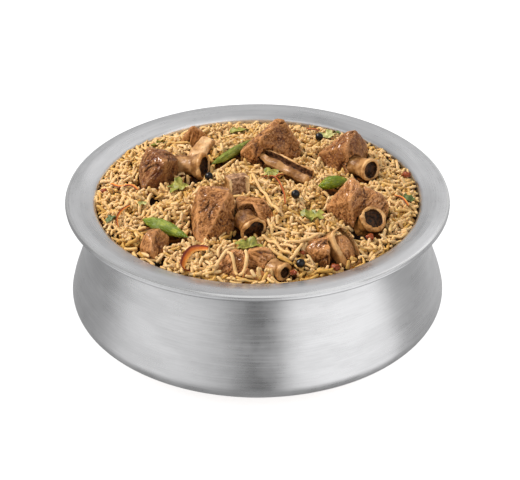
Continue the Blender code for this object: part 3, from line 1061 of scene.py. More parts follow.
@dataclass
class RiceBed:
    """The smaller core of the heap, under its loose grains."""

    handi: Handi
    crown: float = 96.0
    edge_height: float = 85.4
    power: float = 2.4
    mound: float = 1.1
    back_drop: float = 2.8
    depth: float = 3.6
    clearance: float = 0.6
    rings: int = 90
    steps: int = 380
    hollows: tuple[tuple[float, float, float, float], ...] = (
        (58, -48, 6.5, 6), (-13, -56, 6.5, 5.5), (-38, 3, 6.5, 5), (-61, -13, 5.5, 4.5),
        (39, -76, 5.5, 5), (-54, -73, 5, 4.5), (9, -47, 4, 2.6), (52, -80, 5.5, 4.5),
        (56, 11, 4.5, 3.5))
    finish: BedFinish = field(default_factory=BedFinish)

    @property
    def edge(self) -> float:
        """The radius of the heap where it meets the wall."""
        return self.handi.neck_radius - self.handi.wall + 1.3

    def outline(self, x: np.ndarray, y: np.ndarray) -> np.ndarray:
        """Height of the heap's outline, with its mounds and its hollows.

        Args:
            x: The x of some places, in mm.
            y: Their y, in mm.

        Returns:
            The height at each place, in mm.
        """
        out = np.minimum(np.hypot(x, y) / self.edge, 1.0)
        dome = self.crown - (self.crown - self.edge_height) * out ** self.power
        mounds = np.sin(0.11 * x + 0.6) * np.sin(0.13 * y - 0.4) + np.sin(0.19 * x - 0.15 * y)
        back = np.clip((y - 45.0) / 50.0, 0.0, 1.0) ** 2
        return dome - self.back_drop * back + self.mound * mounds * (1.0 - out ** 8) - self.sunk(x, y)

    def sunk(self, x: np.ndarray, y: np.ndarray) -> np.ndarray:
        """How deep the hollows beside the meat and the bones are.

        Args:
            x: The x of some places, in mm.
            y: Their y, in mm.

        Returns:
            The depth at each place, in mm.
        """
        depths = np.zeros(np.shape(x))
        for middle_x, middle_y, radius, depth in self.hollows:
            near = ((x - middle_x) ** 2 + (y - middle_y) ** 2) / radius ** 2
            depths = depths + depth * np.exp(-near * 1.5)
        return depths

    def build(self) -> Piece:
        """Make the core with a lumpy top."""
        side = self.handi.inner_line(self.handi.wall + self.clearance)
        side = side[side[:, 1] < self.edge_height - self.depth - 1.5]
        radii = np.linspace(0, side[0, 0], self.rings)
        profile = [(radius, side[0, 1] + 1) for radius in radii] + [tuple(point) for point in side]
        points, faces, _ = turned(profile, self.steps)
        top = points[:, 2] > (side[0, 1] + 0.5) * MM
        x, y = points[top, 0] / MM, points[top, 1] / MM
        lumps = np.array([noise.noise((a / 2.1, b / 2.1, 3.0)) for a, b in zip(x, y)])
        points[top, 2] = (self.outline(x, y) - self.depth + 0.9 * lumps) * MM
        piece = mesh_piece("rice_bed", points, faces, self.finish.material(), "rice")
        relief = np.full(len(points), 0.4)
        # Painted shade: the relief, and with it the bed's colour, is lower in the hollows beside the meat and
        # the bones.
        relief[top] = 0.45 + 0.5 * lumps - 0.25 * self.sunk(x, y)
        write_mark(piece.data, "relief", relief)
        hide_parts("rice_heap")
        return piece


class Kind(Enum):
    """Sorts of grain, from the lightest to the darkest: stained at random, and darker the deeper a grain lies
    under the heap's top, which is painted shade.
    """

    PALE = 0
    GOLDEN = 1
    AMBER = 2
    SOAKED = 3


@dataclass
class GrainHeap:
    """Loose grains of rice that settle one by one on the bed and lean on what lies there."""

    bed: RiceBed
    solids: Relief
    seed: int = 11
    tries: int = 29000
    peg_share: float = 0.22
    length: float = 9.4
    length_spread: float = 2.8
    length_range: Flat = (4.5, 15.5)
    radius: float = 1.08
    steepest: float = 1.1
    rise: float = 2.4
    peg_length: float = 8.5
    peg_spread: float = 2.0
    peg_range: Flat = (5.0, 13.0)
    peg_tilt: Flat = (28.0, 78.0)
    peg_lift: Flat = (0.4, 2.6)
    peg_rise: float = 3.0
    edge_share: float = 0.16
    edge_width: float = 6.0
    clumping: float = 1.9
    clump_size: float = 5.0
    stations: tuple[float, ...] = (-1.0, -0.92, -0.66, 0.0, 0.66, 0.92, 1.0)
    thickness: tuple[float, ...] = (0.36, 0.8, 1.0, 1.0, 0.98, 0.76, 0.32)
    sides: int = 6
    moat: float = 2.6
    moat_width: int = 9
    clear_height: float = 1.2
    clear_depth: float = 2.7
    # steps of real random staining plus painted shade by depth
    stain_and_shade_steps: Point = (0.7, 1.3, 1.9)
    finishes: dict[Kind, RiceFinish] = field(default_factory=lambda: {
        Kind.PALE: RiceFinish("rice_pale", srgb(216, 184, 138), srgb(206, 167, 104),
                              srgb(176, 124, 50), stained=0.14),
        Kind.GOLDEN: RiceFinish("rice_golden", srgb(208, 170, 107), srgb(190, 146, 72),
                                srgb(152, 98, 28), stained=0.24),
        Kind.AMBER: RiceFinish("rice_amber", srgb(176, 126, 56), srgb(142, 90, 24),
                               srgb(104, 54, 6), stained=0.32, shine=0.09),
        Kind.SOAKED: RiceFinish("rice_soaked", srgb(122, 72, 12), srgb(88, 45, 2),
                                srgb(56, 24, 0), stained=0.4, shine=0.05)})

    def __post_init__(self) -> None:
        """Lay out the ground that the first grains fall on."""
        self.rng = np.random.default_rng(self.seed)
        x, y = self.solids.lines()
        self.target = Relief(self.solids.half, self.solids.step)
        clumps = [noise.noise((a / self.clump_size, b / self.clump_size, 8.0))
                  for a, b in zip(x.flat, y.flat)]
        self.target.heights = self.bed.outline(x, y) + self.clumping * np.array(clumps).reshape(x.shape)
        self.target.heights -= self.moat * self.beside(self.solids.heights > self.target.heights + 3.0)
        ground = self.bed.outline(x, y) - self.bed.depth
        self.top = Relief(self.solids.half, self.solids.step)
        self.top.heights = np.maximum(ground, self.solids.heights)
        slope = self.bed.handi.flare()[:30]
        metal = np.interp(np.hypot(x, y), slope[:, 0], slope[:, 1], left=0.0)
        self.top.heights = np.maximum(self.top.heights, metal)
        self.kept_clear = ((self.solids.heights > self.target.heights + self.clear_height)
                           | (self.bed.sunk(x, y) > self.clear_depth))
        self.shares = np.linspace(-0.5, 0.5, 9)
        self.pairs = np.array([(i, j) for i in range(4) for j in range(5, 9)])
        self.grains: list[tuple] = []

    def beside(self, standing: np.ndarray) -> np.ndarray:
        """How close each cell lies to the near foot of a standing piece.

        Args:
            standing: For each cell, whether a piece stands there.

        Returns:
            A number for each cell, from 0 to 1.
        """
        near = standing.astype(float)
        for step in range(1, self.moat_width):
            shifted = np.roll(standing, -step, axis=1)
            near = np.maximum(near, shifted * (1.0 - (step / self.moat_width) ** 2))
        for _ in range(5):
            near = 0.2 * (near + np.roll(near, 1, 0) + np.roll(near, -1, 0) + np.roll(near, 1, 1)
                          + np.roll(near, -1, 1))
        return near

    def settle(self) -> None:
        """Drop the grains until the heap has grown to its outline."""
        for _ in range(self.tries):
            reach = self.bed.edge * math.sqrt(self.rng.random())
            turn, lying = self.rng.uniform(0, 2 * math.pi), self.rng.uniform(0, math.pi)
            if self.rng.random() < self.edge_share:
                reach = self.bed.edge - self.rng.uniform(1.0, self.edge_width)
                lying = turn + math.pi / 2 + self.rng.normal(0, 0.7)
            x, y = reach * math.cos(turn), reach * math.sin(turn)
            if self.rng.random() < self.peg_share:
                self.stand(x, y)
            else:
                self.lay(x, y, lying)

    def kept_inside(self, x: np.ndarray, y: np.ndarray) -> tuple[float, float]:
        """How far a grain has to shift so that the pan's wall doesn't cut it.

        Args:
            x: The x of the points along the grain, in mm.
            y: Their y, in mm.

        Returns:
            The shift in x and in y, in mm.
        """
        out = np.hypot(x, y)
        worst = int(np.argmax(out))
        excess = out[worst] - (self.bed.edge - self.radius)
        if excess <= 0:
            return 0.0, 0.0
        return -x[worst] / out[worst] * excess, -y[worst] / out[worst] * excess

    def lay(self, x: float, y: float, turn: float) -> None:
        """Lay one grain on what lies under it, unless the heap is already high enough there.

        Args:
            x: Where its middle falls, in mm.
            y: Where its middle falls, in mm.
            turn: The way it points, in radians.
        """
        length = float(np.clip(self.rng.normal(self.length, self.length_spread), *self.length_range))
        sway = float(self.rng.normal(0, 0.19)) * length
        along = self.shares * length
        aside = sway * (1 - (2 * self.shares) ** 2)
        across_x = x + math.cos(turn) * along - math.sin(turn) * aside
        across_y = y + math.sin(turn) * along + math.cos(turn) * aside
        shift_x, shift_y = self.kept_inside(across_x, across_y)
        cells = self.top.cells(across_x + shift_x, across_y + shift_y)
        if self.kept_clear[cells].any():
            return
        under = self.top.heights[cells]
        first, second = self.pairs.T
        rise = (under[second] - under[first]) / (along[second] - along[first])
        level = under[first] - rise * along[first]
        slope = rise[int(np.argmax(level))] + float(self.rng.normal(0, 0.16))
        if abs(slope) > self.steepest:
            return
        middle = float(np.max(under - slope * along)) + self.radius * 0.85
        free = self.rng.normal(0.1, 0.45)
        target = self.target.heights[cells]
        if middle > target[4] + free or (middle + slope * along > target + self.rise).any():
            return
        self.keep(x + shift_x, y + shift_y, middle, turn, slope, length, sway)
        self.paint(across_x + shift_x, across_y + shift_y, middle + slope * along, turn)

    def stand(self, x: float, y: float) -> None:
        """Stand one grain steeply in the heap, with its upper end showing.

        Args:
            x: Where its middle is, in mm.
            y: Where its middle is, in mm.
        """
        if math.hypot(x, y) > self.bed.edge - self.edge_width:
            return
        steep = math.radians(self.rng.uniform(*self.peg_tilt))
        turn = self.rng.uniform(0, 2 * math.pi)
        length = float(np.clip(self.rng.normal(self.peg_length, self.peg_spread), *self.peg_range))
        lift = float(self.rng.uniform(*self.peg_lift))
        run, slope = math.cos(steep) * length, math.tan(steep)
        along = self.shares * run
        across_x, across_y = x + math.cos(turn) * along, y + math.sin(turn) * along
        shift_x, shift_y = self.kept_inside(across_x, across_y)
        cells = self.top.cells(across_x + shift_x, across_y + shift_y)
        if self.kept_clear[cells].any():
            return
        tip = float(self.top.heights[cells][5:].max()) + lift
        if tip > self.target.heights[cells][8] + self.peg_rise:
            return
        middle = tip - math.sin(steep) * length / 2
        sway = float(self.rng.normal(0, 0.05)) * length
        self.keep(x + shift_x, y + shift_y, middle, turn, slope, length, sway, steep=True)
        heights = middle + slope * along
        self.paint((across_x + shift_x)[6:], (across_y + shift_y)[6:], heights[6:], turn)

    def keep(self, x: float, y: float, z: float, turn: float, slope: float, length: float,
             sway: float, steep: bool = False) -> None:
        """Note a grain's place, direction, size, bend and kind.

        Args:
            x: Where its middle is, in mm.
            y: Where its middle is, in mm.
            z: How high its middle is above the base, in mm.
            turn: The way it points, in radians.
            slope: How much it rises for each mm that it runs.
            length: Its length in mm.
            sway: How far its middle is bent aside, in mm.
            steep: Whether it stands in the heap.
        """
        flat = 1 / math.hypot(1, slope)
        direction = (math.cos(turn) * flat, math.sin(turn) * flat, slope * flat)
        under = float(self.target.at(x, y)) - z - (2.0 if steep else 0.0)
        # Painted shade: grains that lie deeper under the heap's top get a darker kind, on top of real random
        # staining.
        stain = 0.5 + 0.5 * noise.noise((x / 16, y / 16, 1.7)) + 0.2 * under
        stain += float(self.rng.normal(0, 0.2))
        kind = Kind(sum(stain >= step for step in self.stain_and_shade_steps))
        radius = self.radius * float(self.rng.uniform(0.86, 1.08))
        self.grains.append((x, y, z, *direction, length, radius, sway, kind.value))

    def paint(self, x: np.ndarray, y: np.ndarray, z: np.ndarray, turn: float) -> None:
        """Raise the ground where a grain now lies.

        Args:
            x: The x of the points along the grain, in mm.
            y: Their y, in mm.
            z: Their height above the base, in mm.
            turn: The way that the grain points, in radians.
        """
        for side in (-0.7, 0.0, 0.7):
            crown = self.radius * math.sqrt(1 - (side * 0.95) ** 2) if side else self.radius
            cells = self.top.cells(x - math.sin(turn) * side, y + math.cos(turn) * side)
            self.top.heights[cells] = np.maximum(self.top.heights[cells], z + crown * 0.9)

    def build(self) -> list[Piece]:
        """Make one piece of each kind of grain."""
        table = np.array(self.grains)
        pieces = []
        for kind, finish in self.finishes.items():
            rows = table[table[:, 9] == kind.value]
            points, faces = self.grain_mesh(rows)
            pieces.append(mesh_piece(finish.name, points, faces, finish.material(), "rice"))
            log.info("%s: %d grains", finish.name, len(rows))
        return pieces

    def grain_mesh(self, rows: np.ndarray) -> tuple[np.ndarray, list[np.ndarray]]:
        """Closed, slightly bowed rods with blunt ends.

        Args:
            rows: One row for each grain, as keep notes them.

        Returns:
            The points in metres and the faces.
        """
        count, stations, sides = len(rows), len(self.stations), self.sides
        along = np.array(self.stations)
        direction = rows[:, 3:6]
        level = np.cross(np.array([0.0, 0.0, 1.0]), direction)
        level /= np.maximum(np.linalg.norm(level, axis=1), 1e-6)[:, None]
        upward = np.cross(direction, level)
        spin = self.rng.uniform(0, 2 * math.pi, count)
        crooked = self.rng.normal(0, 0.1, count) * rows[:, 6]
        reach = rows[:, 6, None] * along / 2
        bow = rows[:, 8, None] * (1 - along ** 2)
        hook = crooked[:, None] * (along ** 3 - along)
        middle = (rows[:, None, 0:3] + direction[:, None, :] * reach[..., None]
                  + level[:, None, :] * bow[..., None] + upward[:, None, :] * hook[..., None])
        angles = spin[:, None] + np.arange(sides) * (2 * math.pi / sides)
        squash = self.rng.uniform(0.8, 1.0, count)[:, None]
        ring = (level[:, None, :] * np.cos(angles)[..., None]
                + upward[:, None, :] * (np.sin(angles) * squash)[..., None])
        width = rows[:, 7, None] * np.array(self.thickness)
        width = width * (1 + 0.06 * self.rng.normal(0, 1, width.shape))
        points = middle[:, :, None, :] + ring[:, None, :, :] * width[:, :, None, None]
        starts = np.arange(count)[:, None, None] * stations * sides
        quads = (starts + ring_faces(stations, sides)[None]).reshape(-1, 4)
        caps = (starts + end_faces(stations, sides)[None]).reshape(-1, sides)
        return points.reshape(-1, 3) * MM, [quads, caps]


# ---------------------------------------------------------------- meat and bone


@dataclass
class Form:
    """A crude closed form: its points in metres, its faces and the kind of each face."""

    points: np.ndarray
    faces: list[np.ndarray]
    kinds: np.ndarray

    def mesh(self, name: str) -> Mesh:
        """The form as a mesh.

        Args:
            name: The name of the mesh.

        Returns:
            The mesh.
        """
        mesh = bpy.data.meshes.new(name)
        rows = [list(map(int, row)) for block in self.faces for row in block]
        mesh.from_pydata([tuple(point) for point in self.points], [], rows)
        mesh.update()
        return mesh

    def kinds_near(self, mesh: Mesh) -> np.ndarray:
        """The kinds of the faces of a finer mesh.

        Args:
            mesh: The finer mesh.

        Returns:
            For each of its faces, the kind of the nearest face of the form.
        """
        tree = BVHTree.FromPolygons([tuple(point) for point in self.points],
                                    [list(map(int, row)) for block in self.faces for row in block])
        return np.array([self.kinds[tree.find_nearest(face.center)[2]] for face in mesh.polygons])


def lofted(outline: Sequence[Flat], stations: Sequence[tuple[float, float, float, float]],
           kinds: Sequence[int], end_kinds: tuple[int, int]) -> Form:
    """A bar with one outline all along, which may swell and shift.

    Args:
        outline: The closed outline across the bar in mm, anticlockwise as seen from its far end.
        stations: For each section its height along the bar, its size, and its shift across in mm.
        kinds: The kind of the face that starts at each point of the outline.
        end_kinds: The kinds of the near and the far end.

    Returns:
        The form along Z.
    """
    shape = np.array(outline, float)
    sides = len(shape)
    rows = []
    for height, size, shift_x, shift_y in stations:
        flat = shape * size + (shift_x, shift_y)
        rows.append(np.column_stack([flat, np.full(sides, height)]))
    points = np.vstack(rows) * MM
    quads = ring_faces(len(rows), sides)
    marks = np.concatenate([np.tile(kinds, len(rows) - 1), end_kinds])
    return Form(points, [quads, end_faces(len(rows), sides)], marks)


def slab(size: Point) -> Form:
    """A plain block about the origin, to be softened and carved.

    Args:
        size: Its width, depth and height in mm.

    Returns:
        The block.
    """
    across, deep, high = size
    outline = [(-across / 2, -deep / 2), (across / 2, -deep / 2), (across / 2, deep / 2),
               (-across / 2, deep / 2)]
    stations = [(share * high, width, 0, 0) for share, width in
                ((-0.5, 0.86), (-0.25, 1), (0.25, 1), (0.5, 0.86))]
    return lofted(outline, stations, [0] * 4, (0, 0))


def drawn_out(point: Sequence[float], width: float, length: float, shift: float = 0.0) -> Point:
    """A place in a field of noise whose patches are drawn out along Z.

    Args:
        point: Where it is on the piece, in mm.
        width: How wide a patch is, in mm.
        length: How long a patch is, in mm.
        shift: How far the field is shifted, so that no two are alike.

    Returns:
        The place in the field.
    """
    x, y, z = point
    return x / width, y / width, z / length + shift


@dataclass
class Carving:
    """How the surface of a piece is worked: lumps, strands along an axis, bundles, pits and cracks."""

    axis: Point = (0.0, 0.0, 1.0)
    lumps: float = 0.35
    lump_size: float = 7.0
    strands: float = 0.2
    strand_width: float = 0.8
    strand_length: float = 6.0
    bundles: float = 0.3
    bundle_size: float = 1.9
    groove_width: float = 0.16
    grit: float = 0.16
    grit_width: float = 0.75
    grit_length: float = 1.1
    pits: float = 0.5
    pit_width: float = 2.3
    pit_length: float = 3.4
    cracks: float = 0.0
    crack_size: float = 7.0
    crack_length: float = 30.0
    crack_width: float = 0.06
    ridge_rounds: int = 0
    contrast: float = 1.0
    faces: tuple[tuple[Point, float], ...] = ()

    def trim(self, mesh: Mesh) -> None:
        """Cut the mesh flat at each face, given as a way out and a share of its reach.

        Args:
            mesh: The mesh to cut.
        """
        points = read_points(mesh)
        middle = points.mean(axis=0)
        body = bmesh.new()
        body.from_mesh(mesh)
        for way, share in self.faces:
            out = Vector(way).normalized()
            reach = share * float(((points - middle) @ np.array(out)).max())
            cut = bmesh.ops.bisect_plane(body, geom=body.verts[:] + body.edges[:] + body.faces[:],
                                         plane_co=Vector(middle) + reach * out, plane_no=out,
                                         clear_outer=True)
            rim = [part for part in cut["geom_cut"] if isinstance(part, bmesh.types.BMEdge)]
            bmesh.ops.edgeloop_fill(body, edges=rim)
        body.to_mesh(mesh)
        body.free()
        mesh.update()

    def work(self, mesh: Mesh) -> None:
        """Move the points of a dense mesh, and store how high each of them stands, with painted shade in
        grooves, pits and cracks and a painted highlight on ridges.

        Args:
            mesh: The mesh to work.
        """
        along = Vector(self.axis).normalized()
        side = along.orthogonal().normalized()
        turn = np.array([side, along.cross(side), along]).T
        points = read_points(mesh)
        edges = ridges(mesh, self.ridge_rounds)
        local = points / MM @ turn
        moves = np.empty(len(points))
        relief = np.empty(len(points))
        for index, point in enumerate(local):
            lump = noise.noise(drawn_out(point, self.lump_size, self.lump_size, 7.1))
            strand = noise.noise(drawn_out(point, self.strand_width, self.strand_length))
            grain = noise.noise(drawn_out(point, self.grit_width, self.grit_length, 3.3))
            near = noise.voronoi(drawn_out(point, self.bundle_size, 4.5 * self.bundle_size))[0]
            groove = math.exp(-((near[1] - near[0]) / self.groove_width) ** 2)
            hole = noise.noise(drawn_out(point, self.pit_width, self.pit_length, 1.3))
            pit = min(1.0, max(0.0, (hole - 0.32) / 0.2))
            gap = noise.noise(drawn_out(point, self.crack_size, self.crack_length, 5.7))
            rare = noise.noise(drawn_out(point, 9.0, 16.0, 9.1))
            open_here = min(1.0, max(0.0, 2.6 * rare + 0.15)) if self.cracks else 0.0
            crack = math.exp(-(gap / self.crack_width) ** 2) * open_here
            moves[index] = (self.lumps * lump + self.strands * strand + self.grit * grain
                            - self.bundles * groove - self.pits * pit - self.cracks * crack)
            # Painted shade: grooves, pits and cracks darken the stored relief, which the meat's colour
            # follows.
            relief[index] = (0.62 + self.contrast * (0.35 * strand + 0.4 * grain + 0.12 * lump - 0.3 * groove)
                             - 0.25 * pit - 0.6 * crack)
        move_points(mesh, points + read_normals(mesh) * moves[:, None] * MM)
        # Painted highlight and shade: points on ridges lighten the relief and points in creases darken it.
        relief += 0.6 * np.clip(edges / 0.5, -0.6, 1.0)
        write_mark(mesh, "relief", np.clip(relief, 0, 1))


def worked_piece(name: str, rough: Mesh, voxel: float, rounds: int, carving: Carving,
                 materials: Sequence[Material], slot: str,
                 form: Form | None = None) -> Piece:
    """Turn a crude closed mesh into a finished piece.

    Args:
        name: The name of the piece.
        rough: The crude mesh, in place.
        voxel: The width of the new faces in mm.
        rounds: How much the corners are rounded.
        carving: How the surface is worked.
        materials: The materials by kind of face.
        slot: The record's material slot.
        form: The crude form that tells the kinds of face, if there is more than one.

    Returns:
        The finished piece.
    """
    mesh = remeshed(rough, voxel, name)
    if carving.faces:
        carving.trim(mesh)
        pressed, mesh = mesh, remeshed(mesh, voxel, name)
        bpy.data.meshes.remove(pressed)
    soften_points(mesh, rounds)
    if form is not None:
        kinds = form.kinds_near(mesh)
    carving.work(mesh)
    for material in materials:
        mesh.materials.append(material)
    if form is not None:
        mesh.polygons.foreach_set("material_index", kinds.astype(np.int32))
    mesh.polygons.foreach_set("use_smooth", np.ones(len(mesh.polygons), bool))
    mesh.update()
    bpy.data.meshes.remove(rough)
    return add_piece(name, mesh, slot)


@dataclass
class MeatChunk:
    """A chunk of braised meat, carved from its plain solid."""

    node: str
    fibre: Point
    cracks: float = 1.5
    lumps: float = 0.3
    glazed: float = 0.4
    painted_shade_scale: float = 1.0
    voxel: float = 0.52
    growth: tuple[float, float] = (1.04, 1.1)
    faces: tuple[tuple[Point, float], ...] = ()

    def cuts(self) -> tuple[tuple[Point, float], ...]:
        """The flat faces of the chunk: those that are given, or seven of its own."""
        if self.faces:
            return self.faces
        rng = np.random.default_rng(sum(map(ord, self.node)))
        ways = np.array([(-0.5, -0.6, 0.6), (0.65, -0.6, 0.45), (0.0, 0.3, 0.95), (-0.8, 0.3, 0.5),
                         (0.8, 0.3, 0.5), (0.1, -0.95, 0.3), (0.2, 0.9, 0.4)])
        ways = ways + rng.normal(0, 0.12, ways.shape)
        return tuple((tuple(way), float(rng.uniform(0.9, 0.99))) for way in ways)

    def grow(self, mesh: Mesh) -> None:
        """Swell the crude chunk sideways and upwards, as the carving takes some of it away.

        Args:
            mesh: The crude chunk.
        """
        points = read_points(mesh)
        foot = points.mean(axis=0)
        foot[2] = points[:, 2].min()
        across, up = self.growth
        move_points(mesh, foot + (points - foot) * np.array([across, across, up]))

    def build(self) -> Piece:
        """Carve the chunk and dress it."""
        axis = tuple(Vector(self.fibre).normalized())
        carving = Carving(axis=axis, lumps=self.lumps, lump_size=6.0, strands=0.12, bundles=0.12,
                          bundle_size=2.8, grit=0.08, pits=0.35, cracks=self.cracks, ridge_rounds=34,
                          contrast=0.6, faces=self.cuts())
        finish = MeatFinish(self.node + "_flesh", axis, glazed=self.glazed, painted_shade_scale=self.painted_shade_scale)
        rough = frame["nodes"][self.node].data.copy()
        self.grow(rough)
        piece = worked_piece(self.node + "_carved", rough, self.voxel, 1, carving, [finish.material()],
                             "meat")
        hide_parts(self.node)
        return piece


class Skin(Enum):
    """What covers the outside of a bone."""

    TAN = "tan"
    FLESHY = "fleshy"


@dataclass
class BoneSet:
    """The materials that the bones share."""

    body: Material = field(default_factory=lambda: BoneFinish("bone_body").material())
    rim: Material = field(default_factory=lambda: BoneFinish(
        "bone_rim", srgb(206, 160, 104), srgb(172, 122, 68), srgb(122, 74, 34), 0.15).material())
    marrow: Material = field(
        default_factory=lambda: MarrowFinish("bone_marrow").material())
    spongy: Material = field(default_factory=lambda: MarrowFinish(
        "bone_spongy", srgb(116, 78, 48), srgb(200, 158, 120)).material())
    fleshy: Material = field(default_factory=lambda: BoneFinish(
        "bone_fleshy", srgb(144, 98, 48), srgb(106, 64, 24), srgb(58, 26, 4), 0.3).material())

    def all(self, skin: Skin = Skin.TAN) -> list[Material]:
        """The materials by kind of face: body, rim, marrow and spongy bone."""
        return [self.fleshy if skin is Skin.FLESHY else self.body, self.rim, self.marrow, self.spongy]


@dataclass
class Bone:
    """A bone, made from a crude form in place of its plain solid."""

    node: str

    ending: ClassVar[str] = "_sawn"
    voxel: ClassVar[float] = 0.4

    def form(self) -> Form:
        """The crude form of the bone."""
        raise NotImplementedError

    def carving(self) -> Carving:
        """How its surface is worked."""
        raise NotImplementedError

    def finishes(self, bones: BoneSet) -> list[Material]:
        """Its materials by kind of face."""
        return bones.all()

    def build(self, bones: BoneSet) -> Piece:
        """Make the bone and dress it.

        Args:
            bones: The materials that the bones share.

        Returns:
            The piece.
        """
        form = self.form()
        piece = worked_piece(self.node + self.ending, form.mesh(self.node), self.voxel, 2,
                             self.carving(), self.finishes(bones), "bone", form)
        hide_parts(self.node)
        return piece


@dataclass
class TubeBone(Bone):
    """A round bone, narrow at its waist, with dark marrow sunk into its cut end."""

    cut_end: Point
    far_end: Point
    radius: float
    waist: float
    squat: float = 1.0
    skin: Skin = Skin.TAN
    wall: float = 2.4
    recess: float = 3.0
    sides: int = 40

    def form(self) -> Form:
        """The crude form of the bone."""
        length = (Vector(self.cut_end) - Vector(self.far_end)).length
        hole = self.radius - self.wall
        marrow = [(0.0, length - self.recess * 0.75), (hole * 0.6, length - self.recess * 0.8),
                  (hole, length - self.recess), (hole + 0.1, length - 0.5)]
        rim = [(hole + 0.5, length), (self.radius - 0.6, length), (self.radius, length - 0.7)]
        body = [(self.radius, length - 2.0), (self.waist * 1.02, length * 0.62),
                (self.waist, length * 0.4), (self.waist * 1.15, 1.4), (self.waist * 0.8, 0.0), (0.0, 0.0)]
        points, faces, stretch = turned(marrow + rim + body, self.sides)
        kinds = np.where(stretch < len(marrow) - 1, 2, np.where(stretch < len(marrow) + len(rim), 1, 0))
        points[:, 0] *= self.squat
        place = axes_along(from_rim(self.far_end), from_rim(self.cut_end))
        return Form(placed(points, place), faces, kinds)

    def carving(self) -> Carving:
        """How its surface is worked."""
        axis = heading(self.far_end, self.cut_end)
        if self.skin is Skin.FLESHY:
            return Carving(axis, 1.0, 4.5, strands=0.1, bundles=0.1, grit=0.1, pits=0.4)
        return Carving(axis, 0.7, 4.5, strands=0.1, bundles=0.06, grit=0.1, pits=0.15)

    def finishes(self, bones: BoneSet) -> list[Material]:
        """Its materials by kind of face."""
        return bones.all(self.skin)


@dataclass
class RibBone(Bone):
    """The split rib: a long bar with two pale rails and dark marrow in the groove between them."""

    node: str = "bone_back_rib"
    start: Point = (2.0, 24.0, 9.8)
    end: Point = (31.0, 2.5, 5.0)
    facing: Point = (0.25, -0.45, 0.85)
    width: float = 10.5
    height: float = 8.0
    thin_rail: float = 1.6
    groove: float = 3.2

    ending: ClassVar[str] = "_split"
    voxel: ClassVar[float] = 0.45

    def form(self) -> Form:
        """The crude form of the rib."""
        half, tall = self.width / 2, self.height / 2
        back, front = -half + self.thin_rail, -half + self.thin_rail + self.groove
        outline = [(tall + 0.4, -half + 0.3), (tall + 0.8, back - 0.5), (tall, back),
                   (0.0, back + 0.3), (-0.5, (back + front) / 2), (0.0, front - 0.4),
                   (tall - 1.0, front), (tall - 0.2, front + 1.0), (tall - 1.2, half - 1.6),
                   (0.8, half), (-tall + 1.2, half - 1.6), (-tall, 0.0), (-tall + 1.2, -half + 1.6),
                   (0.8, -half)]
        kinds = [1] * 2 + [3] * 4 + [0] * 8
        length = (Vector(self.end) - Vector(self.start)).length
        stations = [(0.0, 0.62, -0.5, -1.4), (length * 0.16, 0.88, 0.0, -0.4),
                    (length * 0.35, 0.94, 0.3, -0.3), (length * 0.7, 0.95, 0.2, 0.2),
                    (length, 1.04, 0.0, 0.0)]
        form = lofted(outline, stations, kinds, (0, 1))
        place = axes_along(from_rim(self.start), from_rim(self.end), self.facing)
        form.points = placed(form.points, place)
        return form

    def carving(self) -> Carving:
        """How its surface is worked."""
        return Carving(heading(self.start, self.end), 0.7, 6.0, strands=0.2, bundles=0.12, grit=0.12,
                       pits=0.15)

    def finishes(self, bones: BoneSet) -> list[Material]:
        """Its materials by kind of face."""
        groove = MarrowFinish("bone_groove", srgb(50, 26, 12), srgb(128, 84, 54))
        return [*bones.all()[:3], groove.material()]


@dataclass
class BlockBone(Bone):
    """The sawn block: two pale posts with a spongy plate between them."""

    node: str = "bone_centre_block"
    middle: Point = (-12.0, -11.5, 8.0)
    size: Point = (13.0, 9.0, 15.0)
    post: float = 2.0
    sunk: float = 1.8
    lean: float = -8.0
    turn: float = 22.0

    def form(self) -> Form:
        """The crude form of the block."""
        half, deep, high = (part / 2 for part in self.size)
        left, right = -half + self.post, half - self.post
        outline = [(-half, -deep), (left - 0.6, -deep), (left, -deep + self.sunk), (right, -deep + self.sunk),
                   (right + 0.6, -deep), (half, -deep), (half, deep), (-half, deep)]
        stations = [(-high, 0.95, 0, 0), (-high * 0.3, 1.0, 0, 0), (high * 0.5, 1.0, 0.2, 0),
                    (high - 0.8, 1.0, 0, 0), (high, 0.95, 0, 0)]
        form = lofted(outline, stations, [1, 1, 3, 1, 1, 0, 0, 0], (0, 3))
        place = (Matrix.Translation(from_rim(self.middle))
                 @ Matrix.Rotation(math.radians(self.turn), 4, "Z")
                 @ Matrix.Rotation(math.radians(self.lean), 4, "X"))
        form.points = placed(form.points, place)
        return form

    def carving(self) -> Carving:
        """How its surface is worked."""
        return Carving((0.0, 0.0, 1.0), 0.8, 5.0, strands=0.15, bundles=0.12, grit=0.15, pits=0.2)

    def finishes(self, bones: BoneSet) -> list[Material]:
        """Its materials by kind of face."""
        body, _, *others = bones.all()
        posts = BoneFinish("bone_posts", srgb(240, 206, 152), srgb(212, 168, 112), srgb(144, 94, 46), 0.1)
        return [body, posts.material(), *others]


